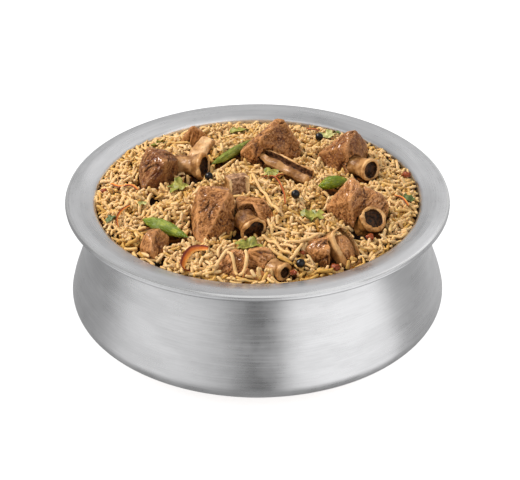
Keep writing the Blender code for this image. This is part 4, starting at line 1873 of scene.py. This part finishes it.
@dataclass
class HoopBone(Bone):
    """The flat ring of bone at the front right, thick on its outer side."""

    node: str = "bone_front_right"
    middle: Point = (50.2, -68.5, 1.8)
    facing: Point = (0.42, -0.62, 0.66)
    down: Point = (0.42, -0.48, -0.77)
    half_length: float = 12.4
    half_width: float = 7.0
    depth: float = 8.0
    thin: float = 0.5
    thick: float = 4.2
    sides: int = 48

    ending: ClassVar[str] = "_ring"

    def place(self) -> Matrix:
        """The frame of the ring: X along its length, Z out of its cut face."""
        out = Vector(self.facing).normalized()
        down = Vector(self.down)
        down = (down - down.dot(out) * out).normalized()
        turn = Matrix((down, out.cross(down), out)).transposed().to_4x4()
        return Matrix.Translation(from_rim(self.middle)) @ turn

    def form(self) -> Form:
        """The crude form of the ring."""
        angles = np.arange(self.sides) * (2 * math.pi / self.sides)
        share = 0.5 + 0.5 * np.cos(angles + math.radians(55))
        wall = self.thin + (self.thick - self.thin) * share
        rows = []
        for height, inset in ((-self.depth, 0.0), (-0.6, 0.0), (0.0, 0.5), (0.0, -0.5), (-self.depth, 0.0)):
            inner = len(rows) > 2
            depth = wall + inset if inner else np.full(self.sides, inset)
            across, along = np.cos(angles), np.sin(angles)
            square = (np.abs(across) ** 3 + np.abs(along) ** 3) ** (-1 / 3)
            rows.append(np.column_stack([(self.half_length - depth) * across * square,
                                         (self.half_width - depth) * along * square,
                                         np.full(self.sides, height)]))
        points = np.vstack(rows) * MM
        quads = ring_faces(len(rows), self.sides)
        last = (len(rows) - 1) * self.sides
        around = np.arange(self.sides)
        after = (around + 1) % self.sides
        close = np.stack([last + around, last + after, after, around], axis=1)
        outer = np.where(share > 0.5, 1, 0)
        kinds = np.concatenate([outer, np.ones(3 * self.sides), np.zeros(self.sides)])
        return Form(placed(points, self.place()), [quads, close], kinds.astype(int))

    def carving(self) -> Carving:
        """How its surface is worked."""
        return Carving(self.down, 0.7, 6.0, strands=0.15, bundles=0.08, grit=0.12, pits=0.15)


@dataclass
class SoftSlab:
    """A small soft slab: the strip of fat and the splinter of bone."""

    node: str
    name: str
    middle: Point
    size: Point
    turns: Point
    finish: BoneFinish
    slot: str

    def build(self) -> Piece:
        """Make the slab and dress it."""
        form = slab(self.size)
        place = Matrix.Translation(from_rim(self.middle))
        for axis, angle in zip("ZYX", reversed(self.turns)):
            place = place @ Matrix.Rotation(math.radians(angle), 4, axis)
        form.points = placed(form.points, place)
        axis = tuple(place.to_3x3() @ Vector((1, 0, 0)))
        carving = Carving(axis=axis, lumps=1.2, lump_size=5.0, strands=0.06, bundles=0.0, grit=0.1,
                          pits=0.3)
        piece = worked_piece(self.name, form.mesh(self.node), 0.4, 16, carving, [self.finish.material()],
                             self.slot)
        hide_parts(self.node)
        return piece


# ---------------------------------------------------------------- chillies and garnish


@dataclass
class ChilliPod:
    """A green chilli, pointed at both ends and a little bowed."""

    node: str
    start: Point
    end: Point
    radius: float
    bow: float
    thickest: float
    green: Colour
    light: Colour
    ridges: float = 0.05
    rings: int = 60
    sides: int = 40

    def build(self) -> Piece:
        """Make the pod and dress it."""
        length = (Vector(self.end) - Vector(self.start)).length
        profile = [(0.0, length)]
        for ring in range(self.rings, 0, -1):
            t = 0.5 - 0.5 * math.cos(math.pi * ring / (self.rings + 1))
            swell = t / self.thickest if t < self.thickest else (1 - t) / (1 - self.thickest)
            profile.append((self.radius * math.sin(swell * math.pi / 2) ** 0.8, t * length))
        profile.append((0.0, 0.0))
        points, faces, _ = turned(profile, self.sides)
        around = np.arctan2(points[:, 1], points[:, 0])
        lumps = np.array([noise.noise((math.cos(a) * 1.2, math.sin(a) * 1.2, z / MM / 5))
                          for a, z in zip(around, points[:, 2])])
        swelling = 1 + self.ridges * np.cos(3 * around + 0.5) + 0.12 * lumps
        points[:, :2] *= swelling[:, None]
        points[:, 0] += self.bow * MM * np.sin(np.pi * points[:, 2] / (length * MM))
        place = axes_along(from_rim(self.start), from_rim(self.end))
        axis = heading(self.start, self.end)
        skin = ChilliSkin(self.node + "_skin", axis, self.green, self.light)
        piece = mesh_piece(self.node + "_pod", placed(points, place), faces, skin.material(), "chilli")
        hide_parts(self.node)
        return piece


class Garnish:
    """Something that lies on the heap."""

    def build(self, cloth: Relief) -> Piece:
        """Make it on the cloth that covers the heap.

        Args:
            cloth: The heights of the cloth.

        Returns:
            The piece.
        """
        raise NotImplementedError


@dataclass
class Leaf(Garnish):
    """A wilted, lobed leaf that lies over the rice."""

    name: str
    place: Flat
    size: Flat
    turn: float
    finish: LeafFinish
    lobes: int = 5
    cut: float = 0.5
    curl: float = 1.8
    lift: float = 0.5
    thickness: float = 0.3
    rings: int = 11
    steps: int = 80

    def outline(self, angles: np.ndarray) -> np.ndarray:
        """How far the edge is from the middle.

        Args:
            angles: The angles that are asked about, in radians.

        Returns:
            The distance at each angle, as a share.
        """
        lobes = np.abs(np.cos(angles * self.lobes / 2)) ** 0.7
        teeth = 0.12 * np.abs(np.sin(angles * self.lobes * 1.5 + 0.8)) ** 0.6
        ragged = np.array([noise.noise((math.cos(a) * 1.5, math.sin(a) * 1.5, self.turn / 40))
                           for a in angles])
        return 1 - self.cut + self.cut * lobes - teeth + 0.22 * ragged

    def build(self, cloth: Relief) -> Piece:
        """Make the leaf on the cloth that covers the heap."""
        upper = [(ring / self.rings, 0.5) for ring in range(self.rings + 1)]
        profile = upper + [(radius, -0.5) for radius, _ in reversed(upper)]
        points, faces, _ = turned(profile, self.steps)
        points /= MM
        radius, angles = np.hypot(points[:, 0], points[:, 1]), np.arctan2(points[:, 1], points[:, 0])
        reach = radius * self.outline(angles)
        along = reach * np.cos(angles) * self.size[0] / 2
        across = reach * np.sin(angles) * self.size[1] / 2
        turn = math.radians(self.turn)
        x = self.place[0] + along * math.cos(turn) - across * math.sin(turn)
        y = self.place[1] + along * math.sin(turn) + across * math.cos(turn)
        lean = (2 * across / self.size[1]) ** 2
        ripple = 0.5 * np.sin(5 * angles + self.turn) * radius ** 2
        waves = np.array([noise.noise((a / 3.2, b / 3.2, self.turn)) for a, b in zip(x, y)])
        z = cloth.at(x, y) + self.lift + self.curl * (lean - 0.3) + ripple + 0.6 * waves
        near = np.abs(np.mod(angles * self.lobes / (2 * math.pi) + 0.5, 1) - 0.5)
        side = near * 2 * math.pi / self.lobes * radius * self.size[1] / 2
        veins = np.maximum(np.exp(-(side / 0.35) ** 2), np.exp(-(across / 0.4) ** 2)) * (radius < 0.9)
        z += points[:, 2] * self.thickness * (1.2 - radius) - 0.25 * veins * np.sign(points[:, 2])
        piece = mesh_piece(self.name, np.column_stack([x, y, z]) * MM, faces, self.finish.material(),
                           "herb")
        soften_points(piece.data, 1)
        write_mark(piece.data, "vein", veins)
        return piece


def swept(path: np.ndarray, width: np.ndarray, height: np.ndarray, sides: int, hollow: float = 0.0,
          roll: float = 0.0) -> tuple[np.ndarray, list[np.ndarray], np.ndarray]:
    """A closed strip or strand along a path.

    Args:
        path: Points in mm, one row each.
        width: Its width at each point, in mm.
        height: Its thickness at each point, in mm.
        sides: How many points go round it.
        hollow: How much its two edges stand above its middle, in mm.
        roll: How far it is rolled over to its left, in radians.

    Returns:
        The points in metres, the faces, and how near to the right edge each point is, 0 to 1.
    """
    along = np.gradient(path, axis=0)
    along /= np.linalg.norm(along, axis=1)[:, None]
    level = np.cross(np.array([0.0, 0.0, 1.0]), along)
    level /= np.linalg.norm(level, axis=1)[:, None]
    upward = np.cross(along, level)
    side = level * math.cos(roll) + upward * math.sin(roll)
    out = upward * math.cos(roll) - level * math.sin(roll)
    angles = np.arange(sides) * (2 * math.pi / sides)
    flat, tall = np.cos(angles), np.sin(angles)
    offset = (side[:, None] * (width[:, None] / 2 * flat)[..., None]
              + out[:, None] * (height[:, None] / 2 * tall + hollow * flat ** 2)[..., None])
    points = (path[:, None] + offset).reshape(-1, 3)
    edge = np.tile(0.5 - 0.5 * flat, len(path))
    return points * MM, [ring_faces(len(path), sides), end_faces(len(path), sides)], edge


@dataclass
class OnionStrip(Garnish):
    """A curled strip of fried onion."""

    name: str
    finish: OnionFinish
    route: tuple[Flat, ...]
    width: float = 2.7
    thickness: float = 0.7
    roll: float = 0.0
    lift: float = 0.5

    def build(self, cloth: Relief) -> Piece:
        """Lay the strip on the cloth that covers the heap."""
        line = smooth_line(self.route, 10)
        share = np.linspace(0, 1, len(line))
        high = eased(cloth.at(line[:, 0], line[:, 1]), 60)
        wave = 0.4 * np.sin(share * 7 + len(self.name))
        path = np.column_stack([line, high + self.lift + wave])
        taper = 0.35 + 0.65 * np.sin(np.pi * np.clip(share * 0.9 + 0.05, 0, 1)) ** 0.5
        points, faces, edge = swept(path, self.width * taper, self.thickness * taper, 16, 0.3, self.roll)
        piece = mesh_piece(self.name, points, faces, self.finish.material(), "onion")
        write_mark(piece.data, "rim", edge)
        return piece


@dataclass
class LongStrands(Garnish):
    """A few grains of rice that cling end to end in long strands."""

    routes: tuple[tuple[Flat, ...], ...]
    radius: float = 1.05
    finish: RiceFinish = field(default_factory=lambda: RiceFinish(
        "rice_strands", srgb(222, 188, 138), srgb(208, 168, 108), srgb(180, 124, 58), 0.2))

    def build(self, cloth: Relief) -> Piece:
        """Lay the strands on the cloth that covers the heap."""
        blocks, quads, caps, start = [], [], [], 0
        for route in self.routes:
            line = smooth_line(route, 12)
            share = np.linspace(0, 1, len(line))
            high = eased(cloth.at(line[:, 0], line[:, 1]) + self.radius * 0.8, 8)
            ends = np.minimum(1.0, 0.45 + 12 * np.minimum(share, 1 - share))
            knots = 1 - 0.22 * np.abs(np.sin(share * len(line) / 4.4)) ** 6
            width = 2 * self.radius * ends * knots
            points, faces, _ = swept(np.column_stack([line, high]), width, width * 0.92, 10)
            blocks.append(points)
            quads.append(faces[0] + start)
            caps.append(faces[1] + start)
            start += len(points)
        return mesh_piece("rice_strands", np.vstack(blocks), [np.vstack(quads), np.vstack(caps)],
                          self.finish.material(), "rice")


@dataclass
class Crumbs(Garnish):
    """Small round or ragged things that lie on the rice: peppercorns and fried bits."""

    name: str
    finish: Finish
    slot: str
    spots: tuple[Point, ...]
    wrinkle: float = 0.05
    wrinkle_size: float = 1.2
    squash: float = 1.0
    sunk: float = 0.35
    fineness: int = 4

    def build(self, cloth: Relief) -> Piece:
        """Set the crumbs into the top of the heap."""
        shape = bmesh.new()
        for x, y, radius in self.spots:
            made = bmesh.ops.create_icosphere(shape, subdivisions=self.fineness, radius=1.0)
            middle = Vector((x, y, float(cloth.at(x, y)) + radius * (self.squash - self.sunk)))
            for vertex in made["verts"]:
                seed = vertex.co * radius / self.wrinkle_size + middle
                swell = 1 + self.wrinkle * noise.fractal(seed, 0.6, 2.0, 3)
                place = vertex.co * radius * swell
                place.z *= self.squash
                vertex.co = (middle + place) * MM
        mesh = bpy.data.meshes.new(self.name)
        shape.to_mesh(mesh)
        shape.free()
        mesh.polygons.foreach_set("use_smooth", np.ones(len(mesh.polygons), bool))
        mesh.materials.append(self.finish.material())
        return add_piece(self.name, mesh, self.slot)


# ---------------------------------------------------------------- the studio


@dataclass(frozen=True)
class FloorFinish(Finish):
    """A dull pale floor that glows a little."""

    colour: Colour
    glow: float

    def dress(self, wire: Wiring, shader: Node) -> None:
        """Feed the shader's inputs."""
        wire.fill(shader, Base_Color=self.colour, Roughness=0.9, Emission_Color=(1.0, 1.0, 1.0),
                  Emission_Strength=self.glow)


@dataclass(frozen=True)
class StudioWall:
    """A soft light stretch of the studio's surroundings, in degrees from the camera's side."""

    direction: float
    inner: float
    outer: float
    brightness: float


@dataclass(frozen=True)
class StudioLamp:
    """A square soft light aimed at the dish's food or at its pan. Its place is in metres."""

    name: str
    place: Point
    size: float
    power: float
    colour: Colour = (1.0, 1.0, 1.0)
    on_pan: bool = False
    aim: Point = (0.0, 0.0, 0.09)

    def build(self) -> None:
        """Hang the lamp."""
        data = bpy.data.lights.new(self.name, "AREA")
        data.size, data.energy, data.color = self.size, self.power, self.colour
        lamp = bpy.data.objects.new(self.name, data)
        lamp.location = self.place
        lamp.rotation_euler = facing_along(Vector(self.aim) - Vector(self.place))
        lamp.light_linking.receiver_collection = self.lit("pan" if self.on_pan else "food")
        bpy.context.scene.collection.objects.link(lamp)

    def lit(self, name: str) -> bpy.types.Collection:
        """The pieces that the lamp lights.

        Args:
            name: The name of their collection.

        Returns:
            The collection, which is made the first time it is asked for.
        """
        found = bpy.data.collections.get(name)
        if found is None:
            found = bpy.data.collections.new(name)
            for piece in bpy.data.objects:
                if "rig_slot" in piece and (piece["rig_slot"] == "handi") == self.on_pan:
                    found.objects.link(piece)
        return found


@dataclass(frozen=True)
class StudioCamera:
    """A camera in front of the dish, looking down at it. Distances are in metres."""

    tilt: float = 30.16162
    distance: float = 0.9
    lens: float = 103.79
    sensor: float = 36.0
    across: float = 0.0015
    height: float = 0.090
    drop: float = 0.0358083

    def build(self) -> None:
        """Set up the camera."""
        tilt = math.radians(self.tilt)
        data = bpy.data.cameras.new("camera")
        data.lens, data.sensor_width = self.lens, self.sensor
        camera = bpy.data.objects.new("camera", data)
        camera.location = (self.across, -self.distance * math.cos(tilt),
                           self.height + self.distance * math.sin(tilt))
        camera.rotation_euler = facing_along(Vector((self.across, 0.0, self.height - self.drop))
                                             - camera.location)
        bpy.context.scene.collection.objects.link(camera)
        bpy.context.scene.camera = camera


def facing_along(way: Vector) -> Euler:
    """The turn that makes a lamp or a camera look along a direction."""
    return way.to_track_quat("-Z", "Y").to_euler()


@dataclass
class Studio:
    """The pale floor, the soft surroundings, the lights and the camera, in metres."""

    walls: tuple[StudioWall, ...] = (
        StudioWall(-52.0, 14.0, 54.0, 0.50), StudioWall(-84.0, 16.0, 68.0, 0.26),
        StudioWall(51.0, 25.0, 44.0, 0.70), StudioWall(76.0, 20.0, 80.0, 0.32),
        StudioWall(180.0, 20.0, 60.0, 0.34), StudioWall(148.0, 10.0, 42.0, 0.15))
    lamps: tuple[StudioLamp, ...] = (
        StudioLamp("key_light", (-1.15, 0.35, 1.45), 0.7, 45.0, (1.0, 0.97, 0.94)),
        StudioLamp("fill_light", (0.50, -0.80, 0.95), 0.9, 2.0, (1.0, 0.98, 0.95)),
        StudioLamp("pan_light_right", (0.80, 1.10, 1.60), 1.0, 1.3, on_pan=True),
        StudioLamp("pan_light_left", (-0.80, 1.02, 1.66), 0.9, 0.4, on_pan=True),
        StudioLamp("pan_light_top", (0.25, 0.15, 2.25), 1.6, 3.4, on_pan=True))
    camera: StudioCamera = StudioCamera()
    dim: float = 0.15
    front: float = 0.42
    low_sky: float = 0.46
    ceiling: float = 0.3
    underside: float = 0.34
    floor_colour: Colour = (0.86, 0.86, 0.86)
    floor_width: float = 12.0
    floor_drop: float = 0.0003
    floor_glow: float = 0.75

    def build(self) -> None:
        """Set up everything around the dish."""
        self.surroundings()
        self.floor()
        for lamp in self.lamps:
            lamp.build()
        self.camera.build()
        bpy.context.scene.view_settings.view_transform = "Standard"

    def surroundings(self) -> None:
        """Light and dark walls that the metal mirrors."""
        world = bpy.data.worlds.new("studio")
        bpy.context.scene.world = world
        world.use_nodes = True
        wire = Wiring(world.node_tree)
        way = wire.add("ShaderNodeTexCoord").outputs["Generated"]
        x, y, z = wire.add("ShaderNodeSeparateXYZ", Vector=way).outputs
        flat = wire.maths("SQRT", wire.plus(wire.times(x, x), wire.plus(wire.times(y, y), 1e-6)))
        total = self.dim
        for wall in self.walls:
            angle = math.radians(wall.direction)
            facing = wire.plus(wire.times(x, math.sin(angle)), wire.times(y, -math.cos(angle)))
            near = wire.spread(wire.over(facing, flat), math.cos(math.radians(wall.outer)),
                               math.cos(math.radians(wall.inner)), 0.0, wall.brightness)
            total = wire.plus(near, total)
        ahead = wire.spread(wire.over(wire.times(y, -1.0), flat), 0.77, 0.99)
        total = wire.plus(total, wire.times(ahead, wire.spread(z, 0.12, 0.36, 0.0, self.front)))
        behind = wire.spread(wire.over(y, flat), 0.8, 0.97)
        low_sky = wire.times(wire.spread(z, 0.48, 0.58, 0.0, self.low_sky), wire.spread(z, 0.72, 0.60))
        total = wire.plus(total, wire.times(behind, low_sky))
        grey = wire.add("ShaderNodeCombineColor", Red=total, Green=total, Blue=total).outputs[0]
        tone = wire.mix(wire.spread(z, -0.35, -0.75), grey, (self.underside,) * 3)
        tone = wire.mix(wire.spread(z, 0.78, 0.97), tone, (self.ceiling,) * 3)
        wire.fill(world.node_tree.nodes["Background"], Color=tone)

    def floor(self) -> None:
        """A wide pale floor just under the base."""
        bpy.ops.mesh.primitive_plane_add(size=self.floor_width, location=(0, 0, -self.floor_drop))
        floor = bpy.context.object
        floor.name = "studio_floor"
        finish = FloorFinish("studio_floor", self.floor_colour, self.floor_glow)
        floor.data.materials.append(finish.material())
        floor.visible_glossy = False


# ---------------------------------------------------------------- the dish


@dataclass
class Dish:
    """All the pieces of the dish."""

    handi: Handi = field(default_factory=Handi)
    chunks: tuple[MeatChunk, ...] = (
        # painted_shade_scale darkens the chunks that lie in shade: painted shade
        MeatChunk("meat_left_back", (0.75, 0.35, 0.5), glazed=0.85, painted_shade_scale=0.68),
        MeatChunk("meat_back_small", (0.3, 0.2, 0.9)),
        MeatChunk("meat_back", (0.3, -0.5, 0.8), glazed=0.5, growth=(1.03, 1.05),
                  faces=(((0.66, -0.68, 0.32), 0.95),)),
        MeatChunk("meat_right_back", (0.8, 0.3, 0.4), glazed=0.65, painted_shade_scale=0.86),
        MeatChunk("meat_centre", (0.35, -0.3, 0.85), growth=(1.06, 1.13), faces=(
            ((-0.12, -0.65, 0.75), 0.56), ((0.64, -0.71, 0.29), 0.62), ((0.1, 0.3, 0.95), 0.92),
            ((-0.95, 0.1, 0.2), 0.95))),
        MeatChunk("meat_centre_right", (0.8, -0.3, 0.3), growth=(1.05, 1.06)),
        MeatChunk("meat_right", (0.6, 0.6, 0.5)),
        MeatChunk("meat_front_right", (0.5, 0.2, 0.8), growth=(1.14, 1.12)),
        MeatChunk("meat_front_right_core", (0.42, -0.48, -0.77), cracks=0.5, lumps=0.5, growth=(1.0, 1.0)),
        MeatChunk("meat_front_left", (0.6, 0.4, 0.6), growth=(1.18, 1.14)),
        MeatChunk("meat_front", (0.9, -0.2, -0.3), growth=(1.3, 1.2), glazed=0.25),
        MeatChunk("meat_left_front", (0.3, 0.3, 0.9), painted_shade_scale=0.9))
    tubes: tuple[TubeBone, ...] = (
        TubeBone("bone_left_back", (-32, 15, 7), (-50, 22, 4.5), 8.6, 5.8),
        TubeBone("bone_right_back", (69, 12, 6.5), (58, 24, 3), 7.5, 6.0, squat=0.94),
        TubeBone("bone_centre_tube", (-1.5, -54.0, 4), (-8.5, -41, 6), 8.2, 6.2, squat=0.92,
                 skin=Skin.FLESHY),
        TubeBone("bone_right", (67, -43, 6), (60, -35, -7), 8.3, 6.6, squat=0.94, skin=Skin.FLESHY),
        TubeBone("bone_front", (15.5, -89, -1.2), (7, -80, -3.0), 5.4, 4.6))
    pods: tuple[ChilliPod, ...] = (
        ChilliPod("chilli_left", (-66.5, -38, 2.2), (-39, -58.5, 2.6), radius=4.0, bow=0.6, thickest=0.42,
                  green=srgb(88, 106, 8), light=srgb(156, 162, 56)),
        ChilliPod("chilli_back", (-28, 19, 6.8), (-4, 52, 6.0), radius=2.9, bow=-1.2, thickest=0.45,
                  green=srgb(104, 116, 18), light=srgb(160, 164, 74)),
        ChilliPod("chilli_right", (35.5, -8, 5.8), (53.5, -5, 9.8), radius=3.9, bow=0.9, thickest=0.5,
                  green=srgb(90, 108, 0), light=srgb(152, 158, 26)))

    def build(self) -> None:
        """Build every piece of the dish in order."""
        self.handi.build()
        log.info("pan spun")
        bed = RiceBed(self.handi)
        bed.build()
        log.info("rice bed laid")
        solids = self.build_solids()
        heap = GrainHeap(bed, solids)
        heap.settle()
        self.garnish(heap)
        heap.build()

    def build_solids(self) -> Relief:
        """Build the meat, the bones and the chillies, and note how high they stand."""
        bones = BoneSet()
        solids = Relief()
        pieces = [chunk.build() for chunk in self.chunks]
        log.info("%d chunks of meat carved", len(pieces))
        pieces += [tube.build(bones) for tube in self.tubes]
        pieces += [RibBone().build(bones), BlockBone().build(bones), HoopBone().build(bones)]
        fat = BoneFinish("fat", srgb(212, 172, 126), srgb(186, 140, 90), srgb(120, 70, 30))
        tan = BoneFinish("bone_splinter", srgb(186, 128, 74), srgb(142, 88, 44), srgb(96, 56, 24))
        pieces.append(SoftSlab("fat_strip", "fat_strip_soft", (-35, 39, 5.9), (23, 9.5, 6),
                               (6, -8, 66), fat, "fat").build())
        pieces.append(SoftSlab("bone_front_splinter", "bone_front_chip", (0.5, -88, -5), (17, 7, 6),
                               (24, 8, -6), tan, "bone").build())
        log.info("bones and fat made")
        pieces += [pod.build() for pod in self.pods]
        for piece in pieces:
            points = read_points(piece.data) / MM
            cells = solids.cells(points[:, 0], points[:, 1])
            np.maximum.at(solids.heights, cells, points[:, 2])
        return solids

    def garnish(self, heap: GrainHeap) -> None:
        """Lay the leaves, the onion, the peppercorns, the fried bits and the long strands.

        Args:
            heap: The heap that they lie on.
        """
        cloth = heap.top.cover(2)
        bright = LeafFinish("leaf_bright", srgb(96, 101, 14), srgb(156, 149, 62))
        # Painted shade: a darker copy of the leaf colours for the leaves that lie in shade near the pan's
        # wall.
        dark = LeafFinish("leaf_dark", srgb(50, 68, 20), srgb(92, 106, 42))
        pale = LeafFinish("leaf_pale", srgb(144, 146, 76), srgb(190, 184, 122))
        gold = OnionFinish("onion_golden")
        red = OnionFinish("onion_red", srgb(176, 84, 26), srgb(104, 34, 10), srgb(180, 100, 40))
        bits = OnionFinish("fried_bits", yellow=srgb(136, 62, 22))
        garnish = (
            Leaf("leaf_left", (-47, -4.2), (16, 13), 25, bright),
            Leaf("leaf_back", (-11.3, 71), (16, 12), 10, bright),
            Leaf("leaf_left_back", (-62.8, 58.2), (12, 7), 20, bright),
            Leaf("leaf_middle", (8.1, 4.7), (13, 10), -30, bright),
            Leaf("leaf_right", (32.1, -39.4), (17, 15), -25, bright, lobes=6),
            Leaf("leaf_front", (-4.1, -69.0), (20, 11), 12, bright, curl=0.4),
            Leaf("leaf_right_back", (45.4, 69.9), (14, 10), 15, pale),
            Leaf("leaf_small", (-67.2, -22.5), (7, 5), 30, pale),
            # These three leaves by the wall take the darker leaf colours, which are painted shade.
            Leaf("leaf_dark_left", (-85.5, -33.1), (8, 8), 60, dark, lobes=4, cut=0.3, curl=2.2),
            Leaf("leaf_dark_right", (89.5, -9.5), (9, 10), 80, dark, lobes=4, cut=0.3, curl=2.2),
            Leaf("leaf_dark_back", (50.5, 75), (8, 6), -20, dark, lobes=4, cut=0.3, curl=1.6),
            OnionStrip("onion_left_back", gold, ((-88.5, 5.9), (-82.7, 2.3), (-76.5, 0), (-71.1, -8))),
            OnionStrip("onion_left", gold, ((-74.8, -23.3), (-79.2, -27.4), (-81.2, -32.8),
                                            (-81.4, -37.7), (-80.3, -42)), width=1.7, roll=-0.7),
            OnionStrip("onion_front", gold, (
                (-27.4, -70.2), (-31.2, -69.2), (-34.6, -70), (-37.4, -72.4), (-39.6, -76), (-41.1, -80),
                (-41.4, -83.6), (-39.8, -86), (-36.8, -87)), width=4.2, thickness=0.8, roll=-0.8,
                       lift=1.0),
            OnionStrip("onion_middle", red, ((3.3, 2.4), (7.5, 1.4), (11, -1.2), (13.4, -6.6),
                                             (15.6, -17.1), (16, -31.3)), width=1.3),
            OnionStrip("onion_middle_end", red, ((7.5, 0.4), (12.3, 0.7), (15.9, 3.2)), width=1.3),
            OnionStrip("onion_right", gold, ((81.3, -8.4), (84.7, -12.1), (87.2, -17.4),
                                             (88.7, -21.5)), width=1.8),
            OnionStrip("onion_back", red, ((31.5, 77.1), (35.5, 74.5), (39.7, 73.9)), width=1.8),
            Crumbs("peppercorns", PepperFinish(), "pepper", (
                (-28.9, -2.5, 2.5), (38.9, 58.7, 2.5), (22.2, -24.0, 2.6), (23.9, -84.4, 2.6))),
            Crumbs("fried_bits", bits, "onion", (
                (90.8, 18.2, 2.4), (64.2, -54.5, 2.2), (43.7, -81.4, 2.4), (19.7, -89.6, 1.8),
                (25.3, -72.4, 1.4), (-92.2, -0.6, 1.8)), wrinkle=0.5, wrinkle_size=1.6, squash=0.6),
            LongStrands((
                ((-3.3, 4.6), (0.3, -9.9), (5, -21), (8.4, -32.9), (12.7, -42.9)),
                ((2.6, -59), (8.3, -64.5), (13.8, -72.5), (19.9, -77)),
                ((17.2, -66.8), (22.3, -67), (27.4, -64.3), (34.9, -59.7)),
                ((18.4, -80.4), (21.6, -74.5), (25.6, -67.3)),
                ((64.1, -60.4), (66.9, -66.5)),
                ((-12.3, -70.6), (-17.7, -77.7), (-22.3, -84.1), (-26.9, -88.5)),
                ((-16.7, -79.6), (-14.0, -82.1), (-12.5, -86.5), (-10.9, -90.9)),
                ((-6.6, -79.2), (-5.8, -84.0), (-7.6, -89.2), (-10.2, -91.5)))))
        for thing in garnish:
            thing.build(cloth)
        log.info("%d pieces of garnish laid", len(garnish))


def main() -> None:
    """Build the dish and its studio."""
    logging.basicConfig(level=logging.INFO, format="%(name)s: %(message)s")
    Dish().build()
    Studio().build()
    bpy.context.view_layer.update()
    log.info("dish and studio built")


if __name__ == "__main__":
    main()
